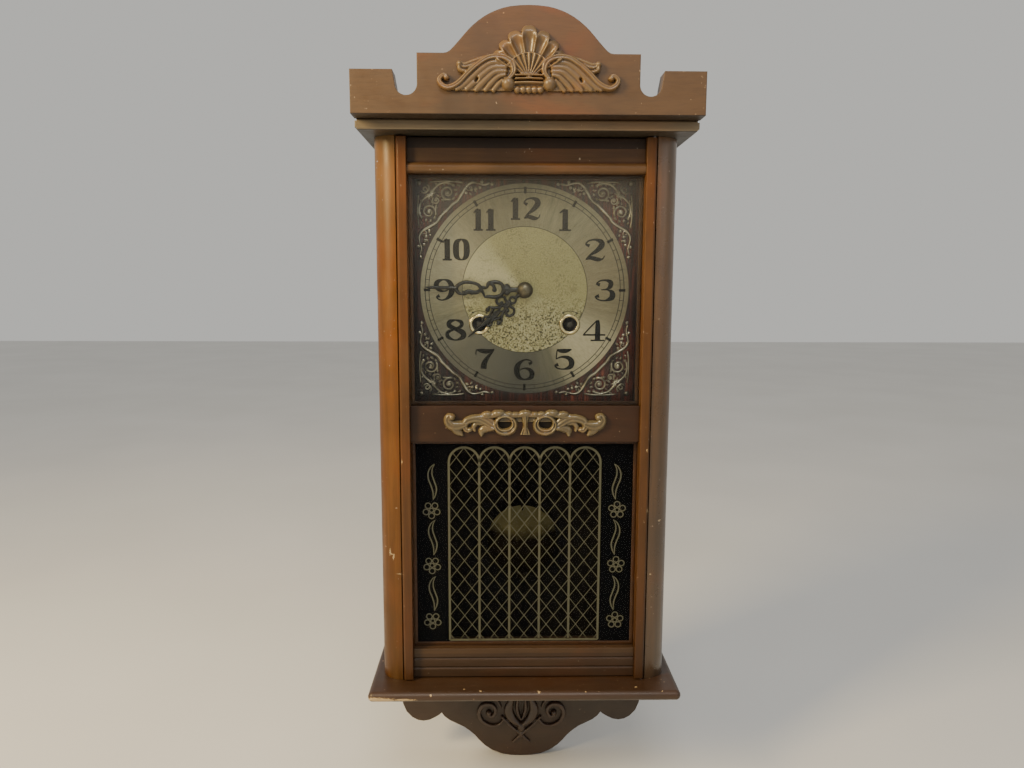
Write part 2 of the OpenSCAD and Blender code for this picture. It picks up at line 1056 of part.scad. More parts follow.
module bead_frame(z0, z1) {
    w = 3;
    box(-pane_x, -pane_x + w, glass_y + 2, rail_y1, z0, z1);
    box(pane_x - w, pane_x, glass_y + 2, rail_y1, z0, z1);
    box(-pane_x + w, pane_x - w, glass_y + 2, rail_y1, z0, z0 + w);
    box(-pane_x + w, pane_x - w, glass_y + 2, rail_y1, z1 - w, z1);
}

module glass_beads() {
    color([0.35, 0.17, 0.09])
        place() {
            bead_frame(rail_high, pane_high);
            bead_frame(pane_low, rail_low);
        }
}

module pivot_pins() {
    color([0.7, 0.7, 0.7])
        place() {
            pin_hole(-5, 9, pin_r);
            pin_hole(door_z1 - 8, case_h + 5, pin_r);
        }
}

module door_catch() {
    color([0.15, 0.15, 0.15])
        place() {
            box(-in_x, -98.5, post_y, -60, 218, 238);
            box(-105, -98.5, stile_y1 + 0.6, post_y, 218, 238);
        }
}

back_board();
side_panel_left();
side_panel_right();
corner_post_left();
corner_post_right();
cornice_slab();
cap_board();
crown_board();
crown_carving();
base_shelf();
base_bracket();
bracket_carving();
hanger_plate();
hanger_screws();
dial_battens();
dial_board();
dial_disc();
spandrels();
winding_grommets();
front_plate();
back_plate();
plate_pillars();
movement_standoffs();
suspension_cock();
suspension_spring();
centre_wheel();
intermediate_wheel();
third_wheel();
escape_wheel();
time_barrel();
time_winding_arbor();
strike_barrel();
strike_winding_arbor();
pallets();
crutch();
minute_wheel();
hour_wheel();
hour_hand();
minute_hand();
hand_nut();
strike_second_wheel();
strike_warning_wheel();
fly();
hammer();
gong_block();
coil_gong();
pendulum_rod();
pendulum_bob();
rating_nut();
door_stile_left();
door_stile_right();
door_top_rail();
door_mid_rail();
door_bottom_rail();
mid_ornament();
upper_glass();
lower_glass();
glass_beads();
pivot_pins();
door_catch();
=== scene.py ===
"""Wall clock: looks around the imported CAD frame. Lengths are in millimetres, with Z from the shelf top."""
import math

import bpy
import numpy as np
from mathutils import Matrix, Vector


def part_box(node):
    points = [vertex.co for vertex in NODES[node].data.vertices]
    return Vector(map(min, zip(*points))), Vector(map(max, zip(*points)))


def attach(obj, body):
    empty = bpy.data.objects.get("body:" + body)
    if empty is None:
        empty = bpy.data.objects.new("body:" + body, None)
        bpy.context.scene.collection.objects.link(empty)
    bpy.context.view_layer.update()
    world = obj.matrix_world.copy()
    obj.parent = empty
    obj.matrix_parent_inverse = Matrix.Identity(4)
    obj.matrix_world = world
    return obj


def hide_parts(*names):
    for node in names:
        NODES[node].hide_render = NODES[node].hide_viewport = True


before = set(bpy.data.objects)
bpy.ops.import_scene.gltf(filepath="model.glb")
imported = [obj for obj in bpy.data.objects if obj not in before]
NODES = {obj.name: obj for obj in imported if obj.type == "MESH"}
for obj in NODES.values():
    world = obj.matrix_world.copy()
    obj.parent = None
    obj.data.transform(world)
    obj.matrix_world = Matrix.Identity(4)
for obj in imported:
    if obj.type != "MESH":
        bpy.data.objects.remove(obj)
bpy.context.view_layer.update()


def face(node, side, axis):
    """A face of a node's box, in mm from the origin: side 0 is the lowest, 1 the highest."""
    return round(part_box(node)[side][axis] * 1000, 1)


FRONT, REAR = 0, 1                               # sides along Y: the front is towards -Y
HANG = -face("base_shelf", 1, 2)                 # the origin, in the hanger hole, over the shelf top
DIAL_Z = HANG + (face("dial_disc", 0, 2) + face("dial_disc", 1, 2)) / 2
SLAB_Z = HANG + face("cornice_slab", 1, 2)
PANE_TOP = HANG + face("upper_glass", 1, 2)
CROWN_Y = face("crown_board", FRONT, 1)
BRACKET_Y = face("base_bracket", FRONT, 1)
RAIL_Y = face("door_mid_rail", FRONT, 1)
PANE_Y = face("lower_glass", REAR, 1)
DISC_Y = face("dial_disc", FRONT, 1)
BOARD_Y = face("dial_board", FRONT, 1)
KEY_X, KEY_Z = 39.2, -29.5                       # winding holes, from the dial centre
FULL = 2 * math.pi


def P(x, y, z):
    """Clock coordinates in mm, Z from the shelf, to metres in the row's frame."""
    return (x / 1000.0, y / 1000.0, (z - HANG) / 1000.0)


# ---- camera
def make_camera():
    data = bpy.data.cameras.new("camera")
    cam = bpy.data.objects.new("camera", data)
    bpy.context.scene.collection.objects.link(cam)
    yaw, pitch, roll = 0.0170, -0.1258, 0.0028
    fwd = Vector((math.sin(yaw) * math.cos(pitch), math.cos(yaw) * math.cos(pitch), math.sin(pitch)))
    level = Vector((math.cos(yaw), -math.sin(yaw), 0.0))
    upright = level.cross(fwd)
    right = math.cos(roll) * level + math.sin(roll) * upright
    up = -math.sin(roll) * level + math.cos(roll) * upright
    m = Matrix((right, up, -fwd)).transposed().to_4x4()
    m.translation = Vector(P(-21.8, -704.9, 339.9))
    cam.matrix_world = m
    data.sensor_width = 36.0
    data.lens = 26.0648
    data.clip_start = 0.01
    bpy.context.scene.camera = cam


# ---- node helpers
class Mat:
    """A small wrapper that adds and links shader nodes."""

    def __init__(self, name):
        self.m = bpy.data.materials.new(name)
        self.m.use_nodes = True
        self.t = self.m.node_tree
        self.t.nodes.clear()
        self.out = self.t.nodes.new("ShaderNodeOutputMaterial")
        self.coord = self.t.nodes.new("ShaderNodeTexCoord").outputs["Object"]

    def put(self, sock, v):
        """Link an output to an input, or set the input's value."""
        if hasattr(v, "is_output"):
            self.t.links.new(v, sock)
        else:
            sock.default_value = v

    def new(self, kind, **sock):
        n = self.t.nodes.new("ShaderNode" + kind)
        for k, v in sock.items():
            self.put(n.inputs[k.replace("_", " ")], v)
        return n

    def surface(self, shader):
        self.put(self.out.inputs["Surface"], shader.outputs[0])
        return self.m

    def bsdf(self, **sock):
        """Finish with a principled shader, and return the material."""
        return self.surface(self.new("BsdfPrincipled", **sock))

    def scaled(self, sx, sy, sz):
        return self.new("Mapping", Scale=(sx, sy, sz), Vector=self.coord).outputs[0]

    def noise(self, scale, detail=3.0, rough=0.5, dist=0.0, vec=None):
        return self.new("TexNoise", Vector=vec or self.coord, Scale=scale, Detail=detail, Roughness=rough,
                        Distortion=dist).outputs["Fac"]

    def ramp(self, fac, *stops):
        n = self.new("ValToRGB", Fac=fac)
        el = n.color_ramp.elements
        while len(el) < len(stops):
            el.new(0.5)
        for e, (p, c) in zip(el, stops):
            e.position = p
            e.color = (*c, 1) if isinstance(c, tuple) else (c, c, c, 1)
        return n.outputs["Color"]

    def mix(self, fac, a, b, mode="MIX"):
        n = self.t.nodes.new("ShaderNodeMix")
        n.data_type = "RGBA"
        n.blend_type = mode
        for idx, v in ((0, fac), (6, a), (7, b)):
            self.put(n.inputs[idx], (*v, 1) if isinstance(v, tuple) else v)
        return n.outputs[2]

    def over(self, col, top, fac, *stops):
        """Lay the colour top over col, as strongly as the ramp of fac says."""
        return self.mix(self.ramp(fac, *stops), col, top)

    def shade(self, fac, col, gain):
        """Multiply col by gain where fac is 1."""
        return self.mix(fac, col, self.mix(1.0, col, gain, "MULTIPLY"))

    def math(self, op, *args):
        n = self.t.nodes.new("ShaderNodeMath")
        n.operation = op
        for sock, v in zip(n.inputs, args):
            self.put(sock, v)
        return n.outputs[0]

    def mul(self, a, b):
        return self.math("MULTIPLY", a, b)

    def add(self, a, b):
        return self.math("ADD", a, b)

    def sub(self, a, b):
        return self.math("SUBTRACT", a, b)

    def vmath(self, op, *args):
        n = self.t.nodes.new("ShaderNodeVectorMath")
        n.operation = op
        for sock, v in zip(n.inputs, args):
            self.put(sock, v)
        return n.outputs

    def bump(self, height, strength, dist, **normal):
        return self.new("Bump", Height=height, Strength=strength, Distance=dist, **normal).outputs[0]

    def edge(self, radius):
        """Rounded-edge normal, and how much it differs from the flat one."""
        b = self.new("Bevel", Radius=radius)
        b.samples = 4
        g = self.new("NewGeometry")
        d = self.vmath("DOT_PRODUCT", b.outputs[0], g.outputs["Normal"])
        return b.outputs[0], self.sub(1.0, d["Value"])

    def xyz(self):
        return self.new("SeparateXYZ", Vector=self.coord).outputs


# ---- wood
def wood(name, base, streak=0.4, grain=(1, 1, 0.06), rough=0.42, chips=0.5, mottle=0.4,
         warm=(1.35, 0.95, 0.7), scars=(), bands=(), fades=(), coat=0.14, gloss=0.5):
    """Stained wood: soft grain, warm blotches, worn edges and pale specks.

    scars are bare spots: a place and three half lengths. bands are stretches in another shade: axis, low,
    high and gain. fades are shades that are full at one height and gone at another: two heights and gain.
    """
    m = Mat(name)

    def tone(*k):
        return tuple(min(1, b * f) for b, f in zip(base, k * 3 if len(k) == 1 else k))

    vec = m.scaled(*grain)
    fine = m.noise(900, 4, 0.6, vec=vec)
    lines = m.noise(170, 3, 0.55, 0.6, vec=vec)
    broad = m.noise(24, 3, 0.55, 0.5, vec=m.scaled(*[0.4 + 0.6 * g for g in grain]))
    cloud = m.noise(13, 3, 0.6)
    col = m.mix(m.mul(m.ramp(lines, (0.3, 1), (0.62, 0)), streak), tone(1.08), tone(0.5))
    col = m.over(col, tone(*warm), broad, (0.5, 0), (0.68, mottle))
    col = m.over(col, tone(0.62, 0.66, 0.72), cloud, (0.36, mottle), (0.52, 0))
    col = m.over(col, tone(0.5), fine, (0.3, 0.3), (0.52, 0))
    nrm, e = m.edge(0.0011)
    patch = m.noise(160, 4, 0.7)
    worn = m.mul(m.ramp(e, (0.02, 0), (0.22, 1)), m.ramp(patch, (0.48, 0.15), (0.6, 1)))
    col = m.mix(m.mul(worn, 0.6), col, tone(2.4, 2.5, 2.4))
    speck = m.noise(420, 1, 0.4)
    area = m.noise(35, 2, 0.5)
    spot = m.mul(m.ramp(speck, (0.755, 0), (0.775, 1)), m.ramp(area, (0.5, 0), (0.6, 1)))
    col = m.mix(m.mul(spot, chips), col, (0.5, 0.36, 0.24))
    if scars:
        ragged = m.mul(m.sub(m.noise(700, 5, 0.75), 0.5), 3.6)
        near = None
        for x, y, z, hx, hy, hz in scars:
            v = m.vmath("SUBTRACT", m.coord, P(x, y, z))[0]
            v = m.vmath("MULTIPLY", v, (1000 / hx, 1000 / hy, 1000 / hz))[0]
            d = m.vmath("LENGTH", v)["Value"]
            near = d if near is None else m.math("MINIMUM", near, d)
        bare = m.ramp(m.add(near, ragged), (0.75, 1), (0.95, 0))
        col = m.mix(m.mul(bare, 0.85), col, (0.50, 0.36, 0.19))
    # bands and fades mostly paint light and shade: painted shadows, painted highlights and painted sheen at
    # set heights
    for axis, low, high, gain in bands:
        a, b = P(low, low, low)[axis], P(high, high, high)[axis]
        v = m.xyz()[axis]
        col = m.shade(m.mul(m.math("GREATER_THAN", v, a), m.math("LESS_THAN", v, b)), col, gain)
    for full, gone, gain in fades:
        v = m.mul(m.sub(m.xyz()[2], P(0, 0, full)[2]), 1000 / (gone - full))
        col = m.shade(m.ramp(v, (0, 1), (1, 0)), col, gain)
    r = m.ramp(m.noise(60, 4, 0.6), (0.3, rough - 0.08), (0.7, rough + 0.12))
    h = m.add(m.mul(fine, 0.5), m.mul(lines, 0.7))
    return m.bsdf(Base_Color=col, Roughness=r, Normal=m.bump(h, 0.1, 0.0004, Normal=nrm), Coat_Weight=coat,
                  Coat_Roughness=0.24, Specular_IOR_Level=gloss)


def veneer():
    """Dark board with fine upright red streaks, darkest at the lower left."""
    m = Mat("dial_veneer")
    a = m.noise(330, 4, 0.65, 0.5, vec=m.scaled(1, 1, 0.05))
    b = m.noise(1200, 3, 0.6, vec=m.scaled(1, 1, 0.03))
    c = m.noise(40, 3, 0.6)
    col = m.ramp(a, (0.33, (0.018, 0.013, 0.012)), (0.46, (0.062, 0.022, 0.017)),
                     (0.58, (0.20, 0.036, 0.020)), (0.7, (0.36, 0.13, 0.07)))
    col = m.over(col, (0.012, 0.007, 0.005), b, (0.4, 0.7), (0.58, 0))
    col = m.over(col, (0.02, 0.012, 0.009), c, (0.4, 0.5), (0.6, 0))
    s = m.xyz()
    corner = m.add(m.mul(s[0], -6), m.mul(m.sub(P(0, 0, DIAL_Z)[2], s[2]), 3))
    col = m.over(col, (0.012, 0.010, 0.010), corner, (0.2, 0), (0.75, 0.85))
    return m.bsdf(Base_Color=col, Roughness=0.32, Normal=m.bump(b, 0.1, 0.0002), Coat_Weight=0.2,
                  Coat_Roughness=0.2)


# ---- metal
def metal(name, base, dirt, rough=0.3, scratch=0.1, amount=0.5):
    m = Mat(name)
    fine = m.noise(1800, 3, 0.6, vec=m.scaled(1, 1, 0.1))
    tarn = m.noise(90, 5, 0.65)
    col = m.over(base, dirt, tarn, (0.35, 0), (0.72, amount))
    r = m.ramp(tarn, (0.3, rough), (0.75, min(rough + 0.25, 0.9)))
    return m.bsdf(Base_Color=col, Metallic=1, Roughness=r, Normal=m.bump(fine, scratch, 0.0002))


def bob_metal():
    """Lacquered brass whose lower half is painted dark, as painted shade under the lit top."""
    m = Mat("bob_brass")
    bright_z, half_w = 114, 31                   # where the dark begins, and the bob's half width
    s = m.xyz()
    n = m.noise(70, 4, 0.6)
    fine = m.noise(1500, 3, 0.6, vec=m.scaled(0.1, 1, 1))
    side = m.mul(s[0], 1000 / half_w)
    low = m.add(m.mul(m.sub(P(0, 0, bright_z)[2], s[2]), 55), m.mul(n, 0.7))
    low = m.add(low, m.mul(m.mul(side, side), 0.45))
    col = m.over((0.155, 0.138, 0.058), (0.085, 0.072, 0.032), n, (0.35, 0), (0.7, 0.5))
    # painted shade: the lower half and the sides darken to near black
    col = m.over(col, (0.010, 0.008, 0.006), low, (0.2, 0), (0.9, 0.97))
    return m.bsdf(Base_Color=col, Metallic=1, Roughness=m.ramp(n, (0.3, 0.3), (0.75, 0.5)),
                  Normal=m.bump(fine, 0.12, 0.0002))


def dial_metal():
    """Ring with a rayed brush and fans of painted sheen and painted shade; the middle is finely pebbled."""
    m = Mat("dial_brushed")
    middle_r = 0.054
    s = m.xyz()
    x, z = s[0], m.sub(s[2], P(0, 0, DIAL_Z)[2])
    ang = m.math("ARCTAN2", z, x)
    rad = m.math("SQRT", m.add(m.mul(x, x), m.mul(z, z)))
    rel = m.new("CombineXYZ", X=m.math("COSINE", ang), Y=m.math("SINE", ang), Z=m.mul(rad, 1.5)).outputs[0]
    ray = m.noise(26, 4, 0.65, vec=rel)
    grainy = m.noise(150, 2, 0.6, vec=rel)

    def fan(col, top, deg, width, amount):
        """Another colour, strongest in the direction deg and gone width degrees away: painted sheen where it
        is lighter, painted shade where it is darker.
        """
        c = m.math("COSINE", m.sub(ang, math.radians(deg)))
        return m.mix(m.mul(m.ramp(c, (math.cos(math.radians(width)), 0), (1, 1)), amount), col, top)

    ring = m.over((0.245, 0.22, 0.135), (0.37, 0.335, 0.215), ray, (0.3, 0), (0.7, 1))
    # fans of painted sheen and painted shade on the ring
    for top, deg, width, amount in (((0.072, 0.074, 0.074), -96, 44, 0.85),
                                    ((0.52, 0.46, 0.31), 160, 34, 0.75),
                                    ((0.66, 0.58, 0.40), -42, 26, 0.8),
                                    ((0.40, 0.37, 0.27), -146, 10, 0.45),
                                    ((0.14, 0.135, 0.115), -130, 34, 0.8),
                                    ((0.30, 0.235, 0.14), 10, 40, 0.5),
                                    ((0.17, 0.145, 0.09), 108, 34, 0.45)):
        ring = fan(ring, top, deg, width, amount)
    ring = m.over(ring, (0.07, 0.06, 0.04), grainy, (0.35, 0.25), (0.6, 0))
    pebble = m.noise(1300, 2, 0.5)
    pit = m.noise(820, 2, 0.55)
    mott = m.noise(55, 4, 0.65)
    low = m.ramp(m.add(m.mul(z, -16), m.mul(mott, 0.8)), (0.40, 0), (0.8, 1))
    cen = m.over((0.29, 0.262, 0.118), (0.455, 0.41, 0.21), pebble, (0.35, 0), (0.6, 1))
    # painted sheen on the middle
    cen = fan(cen, (0.80, 0.72, 0.50), 160, 38, 0.5)
    cen = fan(cen, (0.70, 0.65, 0.46), -60, 50, 0.12)
    dots = m.mul(m.ramp(pit, (0.40, 1), (0.47, 0)),
                 m.math("MAXIMUM", low, m.ramp(mott, (0.42, 0.08), (0.66, 0.5))))
    cen = m.mix(m.mul(m.ramp(pit, (0.53, 0), (0.6, 0.4)), low), cen, (0.66, 0.62, 0.48))
    cen = m.mix(m.mul(dots, 0.9), cen, (0.04, 0.035, 0.025))
    inner = m.math("LESS_THAN", rad, middle_r)
    col = m.mix(inner, ring, cen)
    stain = m.noise(75, 5, 0.7)
    col = m.over(col, (0.16, 0.13, 0.07), stain, (0.55, 0), (0.8, 0.35))
    h = m.mix(inner, m.ramp(ray, (0, 0), (1, 0.6)), m.ramp(pebble, (0.3, 0), (0.65, 1)))
    return m.bsdf(Base_Color=col, Metallic=0.55, Roughness=m.ramp(ray, (0.3, 0.36), (0.7, 0.5)),
                  Normal=m.bump(h, 0.25, 0.00025))


# ---- paint and glass
def relief_paint(name, high, low, hollow_shade=(0.014, 0.008, 0.004), rough=0.36):
    """Relief with painted light: pale on the heights as a painted highlight, dark in the hollows as painted
    shade.
    """
    m = Mat(name)
    point = m.new("NewGeometry").outputs["Pointiness"]
    n = m.noise(240, 4, 0.6)
    soft = m.noise(45, 3, 0.6)
    col = m.over(low, high, point, (0.45, 0), (0.51, 0.4), (0.57, 1))
    col = m.over(col, low, n, (0.4, 0), (0.75, 0.45))
    col = m.over(col, (high[0] * 0.95, high[1] * 0.66, high[2] * 0.5), soft, (0.48, 0), (0.66, 0.5))
    # painted shade: the hollows go near black
    col = m.mix(m.mul(m.ramp(point, (0.4, 1), (0.48, 0)), 0.9), col, hollow_shade)
    r = m.ramp(n, (0.3, rough - 0.05), (0.7, rough + 0.15))
    return m.bsdf(Base_Color=col, Roughness=r, Metallic=0, Normal=m.bump(n, 0.12, 0.0003), Coat_Weight=0.3,
                  Coat_Roughness=0.22)


def paint(name, col, rough=0.4, var=0.25, bump=0.08, gloss=0.5):
    m = Mat(name)
    n = m.noise(300, 4, 0.6)
    c = m.over(col, tuple(min(1, 1.6 * v + 0.02) for v in col), n, (0.35, 0), (0.7, var))
    return m.bsdf(Base_Color=c, Roughness=m.ramp(n, (0.3, rough - 0.08), (0.7, rough + 0.1)),
                  Normal=m.bump(n, bump, 0.0002), Specular_IOR_Level=gloss)


def glass(name, tint, dust, veil=0, ior=1.22):
    """Thin pane: see-through, a faint mirror on top, smears of dust, and a veil that thickens upwards."""
    m = Mat(name)
    clear = m.new("BsdfTransparent", Color=(*tint, 1))
    mirror = m.new("BsdfGlossy", Color=(1, 1, 1, 1), Roughness=0.03)
    grime = m.new("BsdfDiffuse", Color=(0.55, 0.54, 0.48, 1))
    smear = m.noise(30, 4, 0.7)
    grit = m.noise(700, 2, 0.6)
    veil_from = P(0, 0, DIAL_Z - 20)[2]
    top = m.ramp(m.mul(m.sub(m.xyz()[2], veil_from), 9), (0, 0), (1, veil))
    haze = m.mul(m.add(top, m.ramp(smear, (0.4, 0), (0.8, dust))), m.add(grit, 0.5))

    def blend(fac, a, b):
        s = m.t.nodes.new("ShaderNodeMixShader")
        for sock, v in zip(s.inputs, (fac, a.outputs[0], b.outputs[0])):
            m.put(sock, v)
        return s

    pane = blend(m.new("Fresnel", IOR=ior).outputs[0], clear, mirror)
    return m.surface(blend(haze, pane, grime))


# ---- which node has which finish
def finish(mat, *names):
    """Give nodes a material. The materials made without this are for the pieces of add_mesh."""
    for name in names:
        NODES[name].data.materials.clear()
        NODES[name].data.materials.append(mat)


def wood_finishes():
    post_scars = [(-116, -86, 116, 0.9, 5, 3.6), (-113, -88, 112, 0.8, 5, 3.2),
                  (-114.5, -88, 114, 2.6, 5, 0.8), (-107, -90, 97, 3.6, 4, 0.45),
                  (105, -90, 153, 1.1, 4, 1.8), (116, -86, 143, 1.8, 5, 1), (103, -90, 206, 0.8, 3, 2.4),
                  (-104, -90, 196, 0.7, 3, 2), (109, -90, 96, 0.9, 3, 0.8)]
    shelf_scars = [(-121, -112, -5.8, 13, 5, 2.2), (-128, -112, -5, 7, 6, 2), (-103, -112, -5.4, 11, 3, 1.1),
                   (-38, -109, 0, 1.2, 1, 1.2), (12, -110, -1, 1.5, 1.6, 1.2), (52, -110, -1, 0.8, 1, 1),
                   (96, -104, 0, 1.4, 0.8, 1.2), (118, -110, -1, 1.2, 1, 1), (-80, -112, -2, 0.9, 1.2, 1.2),
                   (-52, -106, 0, 0.8, 0.8, 0.8)]
    along_x = (0.06, 1, 1)
    soft_x = (0.12, 1, 1)
    # Painted light on the posts: the left post's brighter, more orange base paints the key lamp's golden
    # light, the right post's darker, greyer base paints its shaded side; the first fade darkens the lower
    # part as painted shade, the second greys the top as a painted sheen
    finish(wood("wood_post", (0.152, 0.058, 0.0095), 0.6, rough=0.36, mottle=0.5, scars=post_scars, coat=0.02,
                gloss=0.28, fades=((0, 330, (0.44, 0.50, 0.66)), (478, 370, (1, 1.6, 3.6)))),
           "corner_post_left")
    finish(wood("wood_post_right", (0.100, 0.050, 0.0165), 0.6, rough=0.3, mottle=0.6, scars=post_scars,
                coat=0.3, gloss=0.6, fades=((0, 330, (0.62, 0.66, 0.78)), (478, 370, (1, 1.15, 1.5)))),
           "corner_post_right")
    # the fade darkens the lower stiles as painted shade
    finish(wood("wood_stile", (0.102, 0.044, 0.0125), 0.6, rough=0.36, mottle=0.5, scars=post_scars,
                coat=0.02, gloss=0.3, fades=((0, 330, (0.50, 0.48, 0.5)),)),
           "door_stile_left", "door_stile_right")
    # Painted light on the rails: on the top rail a painted highlight on the bead, a lit band under it and the
    # cornice's painted shadow above; on the bottom rail a painted highlight on its top bead and a darker band
    # below; the middle rail darker
    rail_bands = ((PANE_TOP, PANE_TOP + 8.6, (2.3, 3, 3.7)), (PANE_TOP + 10, PANE_TOP + 20, (1.2, 1.5, 1.9)),
                  (PANE_TOP + 20, 475, (0.4, 0.5, 0.65)), (22.5, 27.5, (1.1, 1.4, 1.7)),
                  (-2, 22.5, (0.75, 0.95, 1.25)), (211, 244, (0.66, 0.66, 0.66)))
    finish(wood("wood_rail", (0.050, 0.0205, 0.0074), 0.5, grain=along_x, mottle=0.6, coat=0.05, gloss=0.34,
                bands=[(2, *band) for band in rail_bands]),
           "door_top_rail", "door_mid_rail", "door_bottom_rail")
    finish(wood("wood_bead", (0.09, 0.040, 0.014), 0.4, grain=along_x, rough=0.38), "glass_beads")
    # the band darkens the crown board's foot, where it meets the slab, as painted shade in the crease; the
    # fade makes the top warmer
    finish(wood("wood_flat", (0.088, 0.046, 0.0165), 0.25, grain=soft_x, rough=0.46, mottle=0.75,
                warm=(1.5, 0.95, 0.6), fades=((545, 500, (1.1, 0.88, 0.62)),),
                bands=((2, SLAB_Z - 0.4, SLAB_Z + 0.4, (0.3, 0.3, 0.34)),)),
           "crown_board", "cap_board")
    # the bracket's dark base and the fade at its top are painted shade: the shelf's shadow over the bracket
    finish(wood("wood_low", (0.043, 0.024, 0.0145), 0.3, grain=soft_x, rough=0.5, chips=0.2,
                fades=((-25, -105, (0.36, 0.44, 0.58)),)),
           "base_bracket")
    # the slab's pale base paints light on its front, which the crown overhang shades; the band is a painted
    # shadow line at its lower edge
    finish(wood("wood_slab", (0.172, 0.132, 0.083), 0.35, grain=along_x, chips=0.9, coat=0.06,
                bands=((2, SLAB_Z - 8.4, SLAB_Z - 7.6, (0.22, 0.23, 0.25)),)),
           "cornice_slab")
    finish(wood("wood_shelf", (0.040, 0.0185, 0.0070), 0.35, grain=along_x, chips=0.9, scars=shelf_scars),
           "base_shelf")
    finish(wood("wood_side", (0.085, 0.036, 0.012), 0.45, grain=(1, 0.6, 0.05)),
           "side_panel_left", "side_panel_right")
    # the near-black base is painted shade of the case's inside; the band near the back face brings back the
    # wood's own colour outside
    finish(wood("wood_inside", (0.0068, 0.0066, 0.0060), rough=0.75, chips=0, coat=0, gloss=0.15,
                bands=((1, -4, 1, (29, 22, 17)),)),
           "back_board", "dial_battens")
    finish(veneer(), "dial_board")


def metal_finishes():
    finish(metal("brass_aged", (0.62, 0.42, 0.16), (0.24, 0.14, 0.05), 0.28), *NODES)
    # the rod and rating nut are made near black: painted shade of the case's inside
    finish(metal("rod_brass", (0.022, 0.018, 0.011), (0.010, 0.008, 0.005), 0.5), "pendulum_rod",
           "rating_nut")
    finish(metal("gilt_aged", (0.66, 0.60, 0.46), (0.04, 0.034, 0.025), 0.24, 0.2, 0.9), "spandrels")
    finish(metal("brass_grommet", (0.80, 0.60, 0.26), (0.25, 0.17, 0.06), 0.18, 0.1, 0.6), "winding_grommets")
    finish(metal("steel_blued", (0.42, 0.42, 0.44), (0.18, 0.17, 0.17), 0.35),
           "hanger_screws", "movement_standoffs", "suspension_spring", "pallets", "crutch", "hammer",
           "coil_gong", "pivot_pins")
    finish(metal("steel_dark", (0.10, 0.09, 0.08), (0.03, 0.025, 0.02), 0.45),
           "time_winding_arbor", "strike_winding_arbor")
    finish(metal("nut_steel", (0.19, 0.165, 0.115), (0.08, 0.065, 0.04), 0.3), "hand_nut")
    metal("brass_rim", (0.92, 0.78, 0.46), (0.22, 0.16, 0.07), 0.16, 0.1, 0.55)
    finish(bob_metal(), "pendulum_bob")
    finish(dial_metal(), "dial_disc")


def paint_and_glass_finishes():
    finish(paint("black_enamel", (0.008, 0.008, 0.008), 0.35), "gong_block", "door_catch", "hour_hand",
           "minute_hand")
    paint("black_print", (0.006, 0.006, 0.006), 0.5, 0.15, 0.03, 0.25)
    paint("track_print", (0.040, 0.038, 0.032), 0.5, 0.15, 0.03, 0.25)
    # near black for the ring hollows: painted shade of their depth, along with a dark stain
    paint("hollow_shade_and_stain", (0.010, 0.007, 0.004), 0.6, 0.1, 0, 0.2)
    paint("black_film", (0.0030, 0.0037, 0.0047), 0.6, 0, 0, 0.05)
    paint("gold_print", (0.098, 0.096, 0.055), 0.5, 0.2)
    finish(relief_paint("relief_crown", (0.21, 0.135, 0.058), (0.088, 0.05, 0.02)), "crown_carving")
    finish(relief_paint("relief_mid", (0.205, 0.160, 0.078), (0.034, 0.024, 0.010), rough=0.18),
           "mid_ornament")
    # the bracket carving is made dark like the bracket: painted shade
    finish(relief_paint("relief_low", (0.05, 0.028, 0.017), (0.032, 0.018, 0.011)), "bracket_carving")
    finish(glass("pane_glass", (0.97, 0.98, 0.96), 0.008, 0.045), "upper_glass")
    # grey tint on the lower pane, which darkens what is seen of the case's inside
    finish(glass("pane_grey_tint", (0.86, 0.86, 0.88), 0, ior=1.08), "lower_glass")


# ---- mesh helpers
def add_mesh(name, verts, faces, mat, body, slot, smooth=True, replaces=()):
    """Make a piece from points in mm, with the material called mat, and let it ride on a body."""
    me = bpy.data.meshes.new(name)
    me.from_pydata([P(*v) for v in verts], [], faces)
    me.update()
    ob = bpy.data.objects.new(name, me)
    bpy.context.scene.collection.objects.link(ob)
    me.materials.append(bpy.data.materials[mat])
    if smooth:
        me.polygons.foreach_set("use_smooth", [True] * len(me.polygons))
    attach(ob, body)
    if replaces:
        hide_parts(*replaces)
    return ob


def smooth_path(pts, sub=6):
    """Catmull-Rom curve through x, z, width points, with sub steps from one to the next."""
    a = np.array(pts, float)
    a = np.vstack([2 * a[0] - a[1], a, 2 * a[-1] - a[-2]])
    out = []
    for p0, p1, p2, p3 in zip(a, a[1:], a[2:], a[3:]):
        for t in np.arange(sub) / sub:
            out.append(0.5 * (2 * p1 + (p2 - p0) * t + (2 * p0 - 5 * p1 + 4 * p2 - p3) * t * t
                              + (3 * p1 - p0 - 3 * p2 + p3) * t ** 3))
    out.append(a[-2])
    return np.array(out)


